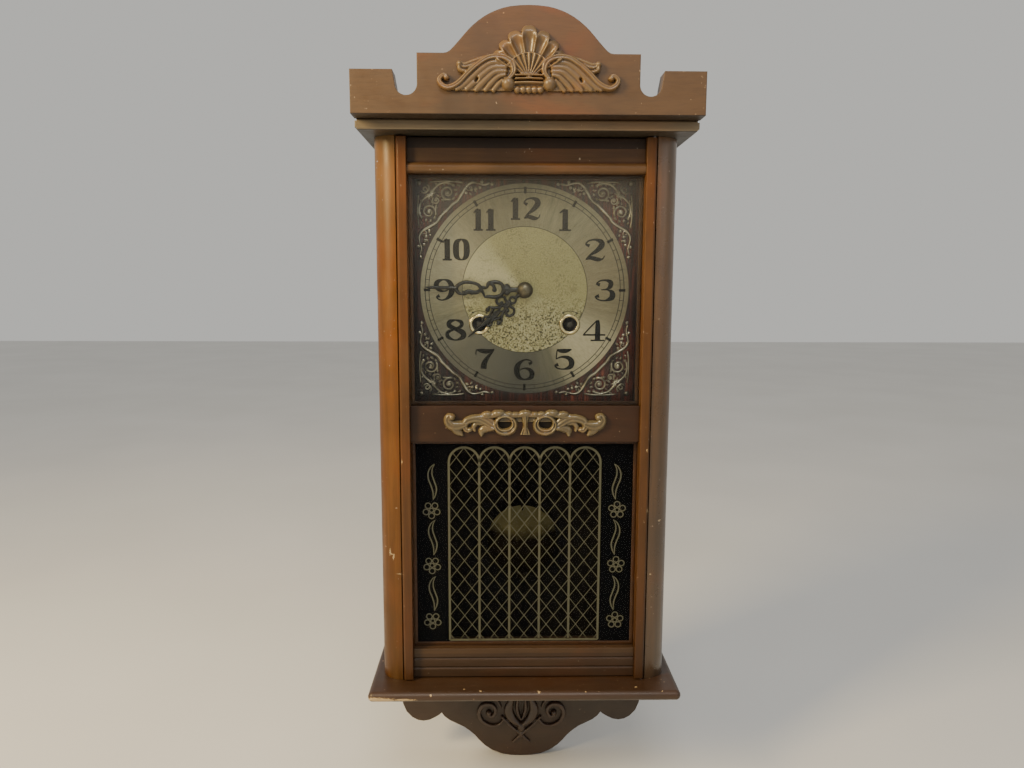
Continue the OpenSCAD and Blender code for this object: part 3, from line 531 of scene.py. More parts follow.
class Ribbons:
    """Collects flat or domed strips lying in a plane of constant Y, front towards -Y."""

    DOMED = [(-1, 0), (-0.72, 0.7), (0, 1), (0.72, 0.7), (1, 0)]
    SQUARE = [(-1, 0), (-1, 1), (1, 1), (1, 0)]
    BUTTON = [(1.0, 0.0), (0.92, 0.5), (0.7, 0.82), (0.35, 0.97)]
    COIN = [(1.0, 0.0), (1.0, 1.0)]

    def __init__(self, y_back, height, dome=True):
        self.v, self.f = [], []
        self.y, self.h, self.dome = y_back, height, dome

    def loft(self, base, rows, k):
        """Faces between rows of k points each."""
        for i in range(rows - 1):
            for j in range(k):
                a, b = base + i * k + j, base + i * k + (j + 1) % k
                self.f.append((a, b, b + k, a + k))

    def strip(self, path, origin=(0, 0), turn=0.0, closed=False):
        """A strip along x, z, width points, turned and then moved to the origin."""
        c, s = math.cos(turn), math.sin(turn)
        p = np.array(path, float)
        xz = np.stack([c * p[:, 0] - s * p[:, 1] + origin[0], s * p[:, 0] + c * p[:, 1] + origin[1]], 1)
        half = np.maximum(p[:, 2], 0.05) / 2
        d = np.gradient(xz, axis=0)
        if closed:
            d[0] = d[-1] = xz[1] - xz[-2]
        d /= np.maximum(np.linalg.norm(d, axis=1, keepdims=True), 1e-9)
        prof = self.DOMED if self.dome else self.SQUARE
        k, base, rows = len(prof), len(self.v), len(xz)
        for (x, z), (dx, dz), w in zip(xz, d, half):
            rise = self.h * (min(1.0, w * 2 / self.h) if self.dome else 1.0)
            self.v += [(x - dz * a * w, self.y - rise * b, z + dx * a * w) for a, b in prof]
        self.loft(base, rows, k)
        self.f.append(tuple(base + j for j in reversed(range(k))))
        self.f.append(tuple(base + (rows - 1) * k + j for j in range(k)))

    def curve(self, pts, sub=6, **kw):
        self.strip(smooth_path(pts, sub), **kw)

    def arc(self, cx, cz, r, a0, a1, w, n=24, **kw):
        t = np.linspace(a0, a1, n)
        closed = abs(abs(a1 - a0) - FULL) < 1e-6
        self.strip(np.stack([cx + r * np.cos(t), cz + r * np.sin(t), np.full(n, w)], 1), closed=closed, **kw)

    def ring(self, cx, cz, r, w, n, **kw):
        self.arc(cx, cz, r, 0, FULL, w, n, **kw)

    def disc(self, cx, cz, r, n=20, origin=(0, 0), turn=0.0):
        c, s = math.cos(turn), math.sin(turn)
        ox, oz = c * cx - s * cz + origin[0], s * cx + c * cz + origin[1]
        base = len(self.v)
        rings = self.BUTTON if self.dome else self.COIN
        for rr, hh in rings:
            for t in (FULL * i / n for i in range(n)):
                self.v.append((ox + r * rr * math.cos(t), self.y - self.h * hh, oz + r * rr * math.sin(t)))
        self.loft(base, len(rings), n)
        self.f.append(tuple(base + (len(rings) - 1) * n + i for i in range(n)))
        self.f.append(tuple(base + i for i in reversed(range(n))))

    def build(self, name, mat, body, slot, **kw):
        return add_mesh(name, self.v, self.f, mat, body, slot, smooth=self.dome, **kw)


class Relief:
    """A carved relief: strokes merged on a fine height grid, then closed at the back."""

    def __init__(self, x0, x1, z0, z1, step, fat=1.0):
        self.X, self.Z = np.meshgrid(np.arange(x0, x1 + step, step), np.arange(z0, z1 + step, step))
        self.H = np.full(self.X.shape, -1.0)     # height over the ground, below 0 where nothing stands
        self.fat = fat                           # widens every stroke

    def merge(self, where, h, soft=0.35):
        """Raise the relief to h inside the mask, with soft seams."""
        a, b = self.H, np.where(where, h, -1.0)
        t = np.clip(0.5 + 0.5 * (a - b) / soft, 0, 1)
        both = b * (1 - t) + a * t + soft * t * (1 - t)
        self.H = np.where((a < 0) | (b < 0), np.maximum(a, b), both)

    def nearest(self, p):
        """Distance to the path p in half widths, and how far along the path that is, from 0 to 1."""
        best = np.full(self.X.shape, 1e9)
        hit = np.zeros(self.X.shape)
        seg = np.linalg.norm(np.diff(p[:, :2], axis=0), axis=1)
        cum = np.concatenate([[0], np.cumsum(seg)]) / max(seg.sum(), 1e-9)
        for i, (a, b) in enumerate(zip(p, p[1:])):
            d = b[:2] - a[:2]
            t = np.clip(((self.X - a[0]) * d[0] + (self.Z - a[1]) * d[1]) / max(d @ d, 1e-9), 0, 1)
            dist = np.hypot(self.X - a[0] - t * d[0], self.Z - a[1] - t * d[1])
            q = dist / np.maximum((a[2] + (b[2] - a[2]) * t) / 2, 0.05)
            m = q < best
            best = np.where(m, q, best)
            hit = np.where(m, cum[i] + (cum[i + 1] - cum[i]) * t, hit)
        return best, hit

    def stroke(self, pts, h0, h1=None, flat=1.0, groove=0.0, fat=1.0):
        """A rounded stroke whose height goes from h0 to h1, with an optional groove along its middle."""
        q, hit = self.nearest(smooth_path([(x, z, w * fat * self.fat) for x, z, w in pts]))
        prof = np.sqrt(np.clip(1 - q ** 2, 0, 1)) ** flat - groove * np.exp(-(q / 0.28) ** 2)
        self.merge(q < 1, (h0 + ((h0 if h1 is None else h1) - h0) * hit) * prof)

    def ball(self, cx, cz, r, h, squash=1.0):
        q = np.hypot((self.X - cx), (self.Z - cz) / squash) / r
        self.merge(q < 1, h * np.sqrt(np.clip(1 - q * q, 0, 1)))

    def plate(self, poly, h, side=1):
        self.merge(inside(side * self.X, self.Z, poly), h, 0.2)

    def cut(self, pts, depth):
        q, _ = self.nearest(smooth_path(pts, 4))
        dip = depth * np.exp(-q ** 2)
        self.H = np.where(self.H > 0, np.maximum(self.H - dip, 0.25), self.H)

    def build(self, name, y_face, z_base, mat, body, slot, replaces, sink=0.25):
        """y_face is the plane that the relief stands on; it stands out towards -Y."""
        core = self.H > 0
        raised = np.where(core, self.H, 0.0)
        pad = np.pad(raised, 1)
        near = pad[:-2, 1:-1] + pad[2:, 1:-1] + pad[1:-1, :-2] + pad[1:-1, 2:]
        H = np.where(core, (near + 2 * raised) / 6, self.H)
        ok = H > 0
        cell = ok[:-1, :-1] & ok[1:, :-1] & ok[:-1, 1:] & ok[1:, 1:]
        used = np.zeros(H.shape, bool)
        for dz in (0, 1):
            for dx in (0, 1):
                used[dz:dz + cell.shape[0], dx:dx + cell.shape[1]] |= cell
        n = int(used.sum())
        idx = -np.ones(H.shape, int)
        idx[used] = np.arange(n)
        xs, zs = self.X[used], self.Z[used] + z_base
        verts = [(x, y_face - h, z) for x, z, h in zip(xs, zs, H[used])]
        verts += [(x, y_face + sink, z) for x, z in zip(xs, zs)]
        faces, edges = [], {}
        for j, i in zip(*np.nonzero(cell)):
            a, b, c, d = idx[j, i], idx[j, i + 1], idx[j + 1, i + 1], idx[j + 1, i]
            faces.append((a, b, c, d))
            for e in ((a, b), (b, c), (c, d), (d, a)):
                if edges.pop(e[::-1], None) is None:
                    edges[e] = True              # an edge of one face only: the rim
        back = [tuple(n + v for v in reversed(f)) for f in faces]
        rim = [(b, a, a + n, b + n) for a, b in edges]
        return add_mesh(name, verts, faces + back + rim, mat, body, slot, replaces=replaces)


# ---- carvings
def inside(X, Z, poly):
    """Mask of the grid points inside a polygon."""
    m = np.zeros(X.shape, bool)
    for (x0, z0), (x1, z1) in zip(poly, poly[1:] + poly[:1]):
        if z0 != z1:
            m ^= ((Z < z0) != (Z < z1)) & (X < x0 + (Z - z0) * (x1 - x0) / (z1 - z0))
    return m


def flip(s, pts):
    """The points, mirrored where s is -1."""
    return [(s * x, z, w) for x, z, w in pts]


def crown_carving():
    """Shell between two wings of leaves."""
    r = Relief(-71, 71, -6, 48, 0.42)
    root_z, fan_r, rib_deg = 7, 18.2, 14.0
    dx, dz = r.X, r.Z - root_z
    rho = np.hypot(dx, dz)
    phi = np.degrees(np.arctan2(dx, dz))
    u = np.sign(phi) * np.interp(np.abs(phi), (0, 20, 38, 54, 68), (0, 1, 2, 3, 4))
    k = np.clip(np.round(u), -3, 3)
    c = np.clip(2 * np.abs(u - k), 0, 1)         # 0 in a flute, 1 on a ridge
    reach = np.choose(np.abs(k).astype(int), [38.6, 36.4, 34, 32.4]) * (1 - 0.10 * c ** 3)
    t = rho / reach
    h = 2.3 + 2.7 * c ** 2.2 + 1.7 * np.exp(-((t - 0.86) / 0.09) ** 2) * (1 - 0.4 * c)
    h = h * (0.7 + 0.42 * t) * np.sqrt(np.clip(1 - (np.clip(t - 0.88, 0, 1) / 0.12) ** 2, 0, 1))
    r.merge((t < 1) & (np.abs(phi) < 62), h)
    rib = 0.5 + 0.5 * np.cos(np.radians(phi * 360 / rib_deg))
    r.H = np.where((rho < fan_r) & (np.abs(phi) < 56), 2.6 + 1.9 * rib ** 0.7 + 0.035 * rho, r.H)
    r.stroke([(fan_r * math.sin(a), root_z + fan_r * math.cos(a), 1.5)
              for a in np.radians(np.linspace(-57, 57, 13))], 5)
    for z, w in ((9.4, 2), (6.9, 2), (4, 2.6)):    # bands at the root
        r.stroke([(-10, z, w), (0, z + 0.3, w), (10, z, w)], 5.2)
    r.plate([(-11, -2), (11, -2), (11, 5), (-11, 5)], 2)
    for x in (-8.6, -4.3, 0, 4.3, 8.6):
        r.ball(x, -0.4, 2.9, 3.8)
    for s in (1, -1):
        wing = [(13, 20), (21, 23), (30, 22.5), (38, 17.5), (45, 12), (54, 3), (60, -1), (45, -1.6),
                (30, -1.8), (15, -1.5)]
        r.plate(wing, 1.7, s)
        for pts in ([(19, 17.6, 3), (27, 18.4, 3.4), (34.5, 14.6, 3.8), (42.2, 8, 4), (49.5, 1.6, 3.2),
                     (54, -0.8, 2)],
                    [(17.5, 15.2, 3), (26.5, 14.9, 3.4), (33.5, 10.6, 3.8), (40.5, 4.4, 4),
                     (46.4, -0.4, 2.8)],
                    [(17.5, 12.2, 2.8), (25, 11.6, 3.4), (31, 7.2, 3.8), (37.2, 1.2, 3.8), (39.5, -1, 2.6)],
                    [(18, 9.6, 2.6), (23, 8.2, 3.2), (28.2, 3.6, 3.6), (32.2, -0.8, 2.8)],
                    [(20, 5.6, 2.4), (23, 2.8, 3.2), (26.4, -1, 2.8)]):
            r.stroke(flip(s, pts), 4.2, 3.2, flat=0.6, fat=1.3)
        r.stroke(flip(s, [(22, 23, 3), (31, 21.6, 5.4), (41, 18.2, 6.2), (47.4, 16.2, 5.6),
                          (51.6, 17.6, 3.8), (52.6, 18.6, 2.2)]), 4.2, 4.4, groove=0.3)
        r.stroke(flip(s, [(52, 17, 3.4), (51.2, 13.4, 3.8), (47.2, 12.2, 3.2), (43, 13.6, 2.4)]), 4.6, 3.6)
        r.stroke(flip(s, [(15.4, 6.5, 3), (11.9, 10.5, 4.4), (11.4, 14.6, 5.4), (13.8, 19.4, 5.8),
                          (20.8, 22.4, 5.2), (29.4, 21.9, 4.6), (37.2, 17.6, 4.2), (44.8, 11.4, 4.4),
                          (52.9, 3.6, 4.8), (60.2, 0.6, 4.6), (65.2, 2.8, 4.4), (66.6, 6.6, 4),
                          (63, 9.4, 3.4), (60.4, 7.4, 2.6)]), 6.2, 5, groove=0.22)
        r.ball(s * 15.4, 3.6, 5.4, 6.6)
        r.ball(s * 51.6, 17.4, 2.6, 5)
        r.ball(s * 61.6, 7.6, 2.4, 4.8)
        r.cut(flip(s, [(38.6, 7, 1.8), (39.4, 5.6, 1.8)]), 4)
    r.build("crown_relief", CROWN_Y, SLAB_Z + 18, "relief_crown", "case", "carved_wood", ("crown_carving",))


def mid_ornament():
    """Two rings beside a flared column, under scalloped leaves with curled ends."""
    r = Relief(-71, 71, -14, 14, 0.36, fat=1.5)
    ring_x, ring_z, ring_rx, ring_rz = 16.7, -0.8, 10.6, 9.4
    r.plate([(-26, 2), (26, 2), (26, 8.5), (-26, 8.5)], 1.2)
    r.plate([(-1.9, -2), (1.9, -2), (4.6, -8.8), (-4.6, -8.8)], 4.2)
    r.stroke([(0, 8.6, 4.6), (0, 1, 3), (0, -5.6, 3.4)], 4.6, flat=0.7)
    for x in (-1.3, 1.3):
        r.cut([(x, 7.6, 0.7), (x, 0, 0.7), (x * 1.8, -8.4, 0.9)], 0.9)
    for s in (1, -1):
        dx, dz = r.X - s * ring_x, r.Z - ring_z
        ang = np.arctan2(dz, s * dx)
        thick = 0.30 + 0.46 * (0.5 - 0.5 * np.sin(ang + 0.25))         # broad below, narrow above
        v = (np.hypot(dx / ring_rx, dz / ring_rz) - (1 - thick)) / thick
        groove = 0.34 * np.exp(-((v - 0.45) / 0.12) ** 2) * (thick > 0.42)
        r.merge((v > 0) & (v < 1), 0.3 + 5.0 * np.sqrt(np.clip(1 - (2 * v - 1) ** 2, 0, 1)) * (1 - groove))
        # one unbroken leaf with a scalloped upper edge
        r.stroke(flip(s, [(0, 8.2, 2.6), (10, 7.6, 2.8), (20, 8.2, 3), (30, 7.2, 2.8), (38, 6, 2.2)]), 4,
                 flat=0.5)
        for x, z, w, h in ((0, 9.2, 6.2, 4.9), (8, 8.6, 4.6, 4.3), (13.6, 8.9, 4.4, 4.3),
                           (22.6, 9.4, 6.4, 5), (32, 8.6, 5.4, 4.5), (38.4, 6.6, 4.4, 3.8)):
            r.ball(s * x, z, w, h, 0.56)
        r.stroke(flip(s, [(37.5, 6.8, 3.4), (33, 4, 5.6), (28.6, 0.6, 5.4), (26.6, -3, 3.4)]), 3.8, 3.4,
                 groove=0.3)
        r.stroke(flip(s, [(27, -2, 3.6), (33, 2, 4.8), (38.6, 4.6, 5.2), (44.4, 4.6, 5.2), (49.4, 2.6, 4.8),
                          (51.2, -1.4, 4), (49.2, -4.8, 3.4), (46.2, -4.6, 2.4)]),
                 4.4, 4.4, groove=0.22)
        r.stroke(flip(s, [(36, 0.6, 2.6), (41, 0.8, 3.2), (43.6, -2.2, 3), (42.8, -5.2, 2)]), 3.2, 3)
        r.stroke(flip(s, [(27, -3.4, 3.2), (32.4, -3.6, 4.6), (36.4, -5.2, 4.6), (37, -9.2, 2)]), 4.6, 2.8)
        r.stroke(flip(s, [(51, 0.2, 4.2), (57, -1.4, 6.4), (62.4, -0.6, 6.2), (65.4, 3.2, 5),
                          (64.4, 6.6, 4.4), (61.4, 6.8, 3.6)]), 4.8, 4.8, groove=0.18)
        r.stroke(flip(s, [(62, -2.6, 3.4), (57.4, -5.4, 5.2), (53.6, -8.8, 2.2)]), 4.2, 2.6)
        r.ball(s * 62, 6.2, 3.2, 5.4)
        r.ball(s * 46.8, -4.2, 2.2, 4.4)
    base_z = 227.4
    # dark discs inside the rings: painted shade of the deep hollows, along with a dark stain
    hole = Ribbons(RAIL_Y + 0.1, 0.25)
    for s in (-1, 1):
        hole.disc(s * ring_x, base_z + 1.2, 6.8, n=24)
    hole.build("ornament_hollows", "hollow_shade_and_stain", "door", "gilt")
    r.build("mid_relief", RAIL_Y, base_z, "relief_mid", "door", "gilt", ("mid_ornament",))


def bracket_carving():
    """Tulip between two scrolls."""
    r = Relief(-50, 50, -108, -56, 0.5)
    for s in (1, -1):
        r.stroke(flip(s, [(1.5, -88, 4), (9, -82, 9), (12.5, -74, 10), (10.5, -65, 7), (7.5, -58, 3)]), 4.6,
                 3.6)
        r.stroke(flip(s, [(0.6, -82, 2), (4.2, -72, 4.6), (3.6, -60, 3)]), 4.4)
        r.stroke(flip(s, [(19, -80, 3), (10, -90, 3.6), (0, -99, 3.6), (-8, -106.5, 2.4)]), 3.4, 2.6)
        r.stroke(flip(s, [(17, -82, 2.6), (22, -88, 3.2), (30, -89, 3.4), (38.5, -84.5, 4), (42, -76, 4.6),
                          (38, -68, 5), (30, -67, 4.6), (25.6, -72.6, 4.2), (28.2, -79, 3.8),
                          (33.2, -78, 2.6)]), 3.4, 4.2, groove=0.2)
        r.stroke(flip(s, [(20, -70, 2), (24, -63, 3), (31, -60.5, 2)]), 3)
        r.ball(s * 32.2, -75.5, 3, 4.6)
    r.ball(0, -90.5, 4.4, 5.2, 1.3)
    r.ball(0, -98.4, 2.4, 3.8, 1.8)
    r.build("bracket_relief", BRACKET_Y, 0, "relief_low", "case", "carved_wood", ("bracket_carving",))


# ---- dial
def digit(ch):
    """Bold serif numeral as strokes in a box of height 1: x, z, width. The table is in hundredths."""
    glyphs = {
        "1": [[(30, 96, 19), (30, 50, 19), (30, 3, 19)], [(31, 95.5, 9), (20, 90, 9), (7, 80, 5)],
              [(6, 3.5, 7), (30, 3.5, 7), (54, 3.5, 7)]],
        "2": [[(17, 68, 12), (7, 76, 7), (15, 91, 6), (33, 96, 9), (49, 87, 17), (51, 70, 20), (38, 47, 15),
               (20, 27, 9), (7, 6, 5)],
              [(7, 7, 5), (22, 14, 13), (40, 7, 14), (54, 9, 6), (60, 24, 4)]],
        "3": [[(18, 75, 13), (9, 80, 7), (18, 93, 6), (34, 96, 8), (48, 87, 16), (47, 68, 16), (37, 56, 6),
               (22, 53, 4)],
              [(22, 53, 4), (42, 51, 6), (53, 38, 18), (52, 17, 19), (34, 3.5, 7), (15, 7, 6), (6, 20, 7),
               (16, 25, 13)]],
        "4": [[(42, 96, 5), (22, 62, 6), (4, 30, 5)], [(2, 28.5, 7), (30, 28.5, 7), (66, 28.5, 7)],
              [(44, 97, 10), (44, 70, 17), (44, 3, 19)], [(24, 3, 6), (44, 3, 6), (64, 3, 6)]],
        "5": [[(12, 95, 5), (20, 89, 13), (36, 88, 15), (53, 95, 5)], [(12, 95, 5), (10, 70, 5), (9, 50, 5)],
              [(9, 50, 4), (24, 60, 8), (43, 56, 14), (53, 38, 20), (50, 15, 17), (33, 3.5, 7), (15, 6, 6),
               (6, 18, 7), (15, 25, 13)]],
        "6": [[(44, 76, 13), (52, 84, 7), (43, 95, 6), (28, 93, 8), (13, 72, 17), (9, 42, 20), (16, 14, 15),
               (32, 3.5, 6), (49, 13, 15), (53, 32, 18), (45, 50, 12), (30, 56, 6), (14, 44, 5)]],
        "7": [[(8, 93, 6), (22, 88, 15), (40, 86, 15), (58, 95, 5)], [(7, 95, 5), (5.5, 82, 5), (5, 70, 5)],
              [(57, 93, 5), (40, 60, 12), (29, 30, 19), (27, 4, 21)]],
        "8": [[(30, 96.5, 6), (14, 88, 15), (13, 70, 17), (30, 55, 14), (50, 38, 20), (51, 18, 17),
               (30, 3.5, 6), (9, 18, 13), (9, 40, 12), (28, 54, 8), (46, 68, 12), (46, 87, 13),
               (30, 96.5, 6)]],
        "0": [[(30, 96.5, 6), (12, 82, 18), (8, 50, 21), (12, 18, 18), (30, 3.5, 6), (48, 18, 18),
               (52, 50, 21), (48, 82, 18), (30, 96.5, 6)]],
    }
    strokes = glyphs["6" if ch == "9" else ch]
    if ch == "9":                                # a 6 turned upside down
        strokes = [[(60 - x, 100 - z, w) for x, z, w in stroke] for stroke in strokes]
    return [[(x / 100, z / 100, w / 100) for x, z, w in stroke] for stroke in strokes]


def numerals(r, centre):
    """Hours 1 to 12, upright, round the dial."""
    ring_r, height, gap, box_w = 69, 18.8, 0.4, 0.62
    for n in range(1, 13):
        a = math.radians(90 - 30 * n)
        cx, cz = ring_r * math.cos(a), ring_r * math.sin(a)
        txt = str(n)
        wide = {"1": 0.92, "2": 1.40, "0": 1.16} if n > 9 else {"1": 1.15}
        sizes = [0.6 * height * wide.get(ch, 1.68) for ch in txt]
        left = cx - (sum(sizes) + gap * (len(txt) - 1)) / 2
        for ch, size in zip(txt, sizes):
            for stroke in digit(ch):
                r.curve([(left + x / box_w * size, (z - 0.5) * height + cz,
                          w * (1.32 if w > 0.09 else 1.1) * height) for x, z, w in stroke], origin=centre)
            left += size + gap


def dial_print():
    centre = (0, DIAL_Z)
    r = Ribbons(DISC_Y, 0.12, dome=False)
    numerals(r, centre)
    track = Ribbons(DISC_Y, 0.1, dome=False)
    for rad, w in ((86, 0.7), (82.7, 0.6), (54, 0.5)):
        track.ring(0, 0, rad, w, 181, origin=centre)
    for i in range(60):
        c, s = math.cos(FULL * i / 60), math.sin(FULL * i / 60)
        mark, r0, r1, w = (r, 81.6, 87.2, 2.2) if i % 5 == 0 else (track, 82.7, 86, 0.5)
        mark.strip([(r0 * c, r0 * s, w), (r1 * c, r1 * s, w)], origin=centre)
    arrow_r = 11.6                               # the arc over each winding hole, with an arrow at both ends
    rim = Ribbons(DISC_Y - 0.2, 1.05)            # rounded brass rims of the winding holes
    for cx in (-KEY_X, KEY_X):
        r.arc(cx, KEY_Z, arrow_r, math.radians(60), math.radians(118), 0.55, n=14, origin=centre)
        for deg, d in ((60, -1), (118, 1)):
            c, s = math.cos(math.radians(deg)), math.sin(math.radians(deg))
            px, pz = cx + arrow_r * c, KEY_Z + arrow_r * s
            r.strip([(px - d * 1.6 * s, pz + d * 1.6 * c, 0.1), (px, pz, 2.2)], origin=centre)
        rim.ring(cx, KEY_Z, 7.5, 3.2, 61, origin=centre)
    r.build("dial_print", "black_print", "case", "dial_metal")
    track.build("dial_tracks", "track_print", "case", "dial_metal")
    rim.build("grommet_rims", "brass_rim", "case", "brass")


def spiral(cx, cz, rad, a0, turns, w, n=26):
    """A scroll that winds in from radius rad, getting thinner."""
    pts = []
    for t in np.linspace(0, 1, n):
        a, r = a0 + turns * FULL * t, rad * (1 - 0.8 * t)
        pts.append((cx + r * math.cos(a), cz + r * math.sin(a), w * (1 - 0.35 * t)))
    return pts


def corner_pattern():
    """One corner's filigree as (kind, points): the corner is at 0, 0, and the dial up and to the left."""
    half = [(-3, 63, 1.2), (-4.2, 58, 1.6), (-3, 53, 1.4), (-2.4, 47.5, 2), (-5.5, 42.8, 2.4),
            (-12, 39, 2.4), (-17.5, 35.6, 2.2), (-20.4, 31.2, 2.6), (-23.4, 28.2, 2.2), (-25.8, 25.8, 2.6)]
    unit = [("curve", half + [(-z, -x, w) for x, z, w in reversed(half[:-1])])]
    cx, cz = -10.8, 27.0                         # the big scroll
    for mirrored in (False, True):
        def add(kind, *pts):
            unit.append((kind, [(-z, -x, w) for x, z, w in pts] if mirrored else pts))

        add("strip", *spiral(cx, cz, 6.2, 2.6, 1.5, 1.7))
        add("disc", (cx, cz, 1.7))
        add("strip", *spiral(-6.6, 44.6, 2.8, 1.2, 1.2, 1))
        add("curve", (-5, 33, 1.6), (-2.6, 27, 2), (-3.8, 20, 1.8), (-9, 14.5, 1.8), (-15, 13, 1.3))
        add("curve", (-2.6, 40, 1.1), (-1.6, 33, 1.4), (-1.5, 22, 1.1), (-2.2, 12, 1.1))
        add("strip", *spiral(-7.6, 8.4, 3.3, 0.4, 1.3, 1.2))
        for k in range(9):                       # leaf fringe round the big scroll
            a = math.radians(-150 + k * 32)
            c, s = math.cos(a), math.sin(a)
            add("curve", (cx + 6.6 * c, cz + 6.6 * s, 1.4),
                (cx + 8.6 * c + 0.6 * s, cz + 8.6 * s - 0.6 * c, 0.5))
        for x, z in ((-3.6, 64.8), (-6.4, 54.4), (-7.4, 51), (-1.8, 56), (-8.2, 47.4), (-11, 42.6)):
            add("disc", (x, z, 1.3))
        for x, z, a in ((-8.4, 49.5, 2.2), (-10.6, 45.4, 2.5), (-13.4, 33.4, 0.6), (-16.6, 30.6, 0.9),
                        (-18, 25.2, -0.3), (-14.5, 20, -0.9), (-3.2, 16, 1.9), (-5.2, 37.5, -1.2),
                        (-8.4, 35.6, -1.6), (-17.5, 21, 1.2)):
            c, s = math.cos(a), math.sin(a)
            add("curve", (x, z, 0.5), (x + 1.6 * c, z + 1.6 * s, 1.6), (x + 3.4 * c, z + 3.4 * s, 0.4))
    unit.append(("strip", spiral(-17.2, 17.2, 3.4, -0.8, 1.4, 1.3)))
    unit.append(("disc", [(-17.2, 17.2, 1.2)]))
    unit.append(("disc", [(-2.6, 2.6, 1.9)]))
    for a in (0.3, 0.8, 1.3, 3.4, 3.9, 4.4):
        c, s = math.cos(a), math.sin(a)
        unit.append(("curve", [(-12.2, 12.2, 1.2), (-12.2 + 2.4 * c, 12.2 + 2.4 * s, 1.6),
                               (-12.2 + 5 * c, 12.2 + 5 * s, 0.4)]))
    return unit


def spandrels():
    r = Ribbons(BOARD_Y, 1.5)
    half_w, fat = 93, 1.22
    for sx, sz in ((1, -1), (-1, -1), (-1, 1), (1, 1)):
        for kind, unit in corner_pattern():
            pts = [(sx * (half_w + x), DIAL_Z + sz * (half_w - z), w * fat) for x, z, w in unit]
            if kind == "disc":
                r.disc(*pts[0], n=10)
            elif kind == "curve":
                r.curve(pts, sub=4)
            else:
                r.strip(pts)
    r.build("spandrel_filigree", "gilt_aged", "case", "gilt", replaces=("spandrels",))


def hand(body, degrees, parts, hub_r, hole_r, fat):
    """Build a pierced hand from strokes and dots drawn along X, and turn it round the dial's centre."""
    node = body + "_hand"
    turn, centre = math.radians(degrees), (0, DIAL_Z)
    r = Ribbons(face(node, REAR, 1), 1.1)
    for kind, pts in parts:
        if kind == "c":
            r.curve([(x, z, w * fat) for x, z, w in pts], sub=5, origin=centre, turn=turn)
        else:
            for x, z, w in pts:
                r.disc(x, z, w * 1.4, n=14, origin=centre, turn=turn)
    r.ring(0, 0, (hub_r + hole_r) / 2, hub_r - hole_r, 41, origin=centre)
    r.build(node + "_pierced", "black_enamel", body, "black_metal", replaces=(node,))


def both(*pts):
    """A stroke and its mirror image across the hand."""
    return [("c", pts), ("c", [(x, -z, w) for x, z, w in pts])]


def hands():
    minute = [("c", [(4, 0, 3.2), (10, 0, 2.6), (14, 0, 3.4), (19, 0, 2.4)])]
    minute += both((13, 0.8, 1.6), (15.5, 3.4, 2.2), (17.6, 2, 1.4))
    minute += [("c", [(18.5, 0, 1.8), (20, 4.2, 1.9), (25, 6.6, 2), (31, 6.4, 2), (35, 6.8, 1)]),
               ("c", [(18.5, 0, 1.8), (20, -4.4, 1.9), (25, -6.2, 2.2), (31, -4.8, 2.4), (33, -1.4, 1.6),
                      (37, -1, 2.2)]),
               ("c", [(31, -4.8, 1.6), (27.5, -3.4, 1.8), (26, -0.4, 1.6)]), ("d", [(26.2, 0.4, 1.5)]),
               ("c", [(34.5, 6.4, 1), (36, 3, 1.6), (38, 0.8, 2.2)])]
    minute += [("c", [(37, 0.5, 2.2), (41, -3.8, 1.8), (50, -5.4, 1.9), (56.5, -3.2, 2), (59, 0.4, 2.2),
                      (56.5, 4.2, 1.8), (52.5, 4.6, 1.4)]),
               ("c", [(37, 0.5, 2.2), (42, 3.2, 2.2), (48.5, 2.6, 2.6), (52, 4.6, 2.2)]),
               ("d", [(45.5, 3.4, 1.5), (52.5, 4.2, 1.5)]),
               ("c", [(58, 0.4, 3), (62, 0, 2.2), (70, 0, 1.9), (80, 0, 1.5), (85, 0, 0.5)])]
    hand("minute", 178.5, minute, 5.4, 2.5, 1.6)

    hour = [("c", [(5, 0, 3), (9, 0, 2.2), (11, 0, 2)])]
    hour += [("c", [(13.6 + 2.7 * math.cos(t), 2.7 * math.sin(t), 1.5) for t in np.linspace(0, FULL, 13)])]
    hour += both((16, 0, 1.6), (18.4, 2.8, 1.7), (17.6, 6.6, 1.6), (20.6, 9.4, 1.7), (24.6, 8.6, 1.7),
                 (25.4, 5.2, 1.6), (22.6, 3.8, 1.4))
    hour += both((16, 0, 1.6), (20.5, 1.4, 1.7), (25.5, 2.4, 1.7), (29.8, 4.8, 1.7), (33, 8.2, 1.4),
                 (36, 7.6, 1.2))
    hour += both((26, 2.4, 1.5), (28.8, 0.6, 1.5), (33.4, 1.6, 1.7), (37, 0.6, 2))
    hour += both((29.8, 4.8, 1.6), (33.8, 4, 1.6), (38.6, 1.6, 2))
    hour += [("d", [(22.8, 3.9, 1.4), (22.8, -3.9, 1.4), (35.6, 7.4, 1.4), (35.6, -7.4, 1.4),
                    (21.6, 0, 1.6)]),
             ("c", [(31, 0, 1.4), (36, 0, 2), (41, 0, 3.4), (45, 0, 3), (49, 0, 2), (57, 0, 1.5),
                    (63.5, 0, 0.6)])]
    hour += both((38, 1.4, 1.4), (41.5, 4.2, 1.8), (45.2, 2.8, 1.4))
    hand("hour", -140.5, hour, 7, 3.5, 1.42)


# ---- lower pane print
LANE_W, LANES = 26.2, 5                          # the printed windows: width and number
LANE_FOOT, LANE_TOP = 31.6, 192.7                # their lower edge, and where the arch starts
LANE_X = -LANE_W * LANES / 2


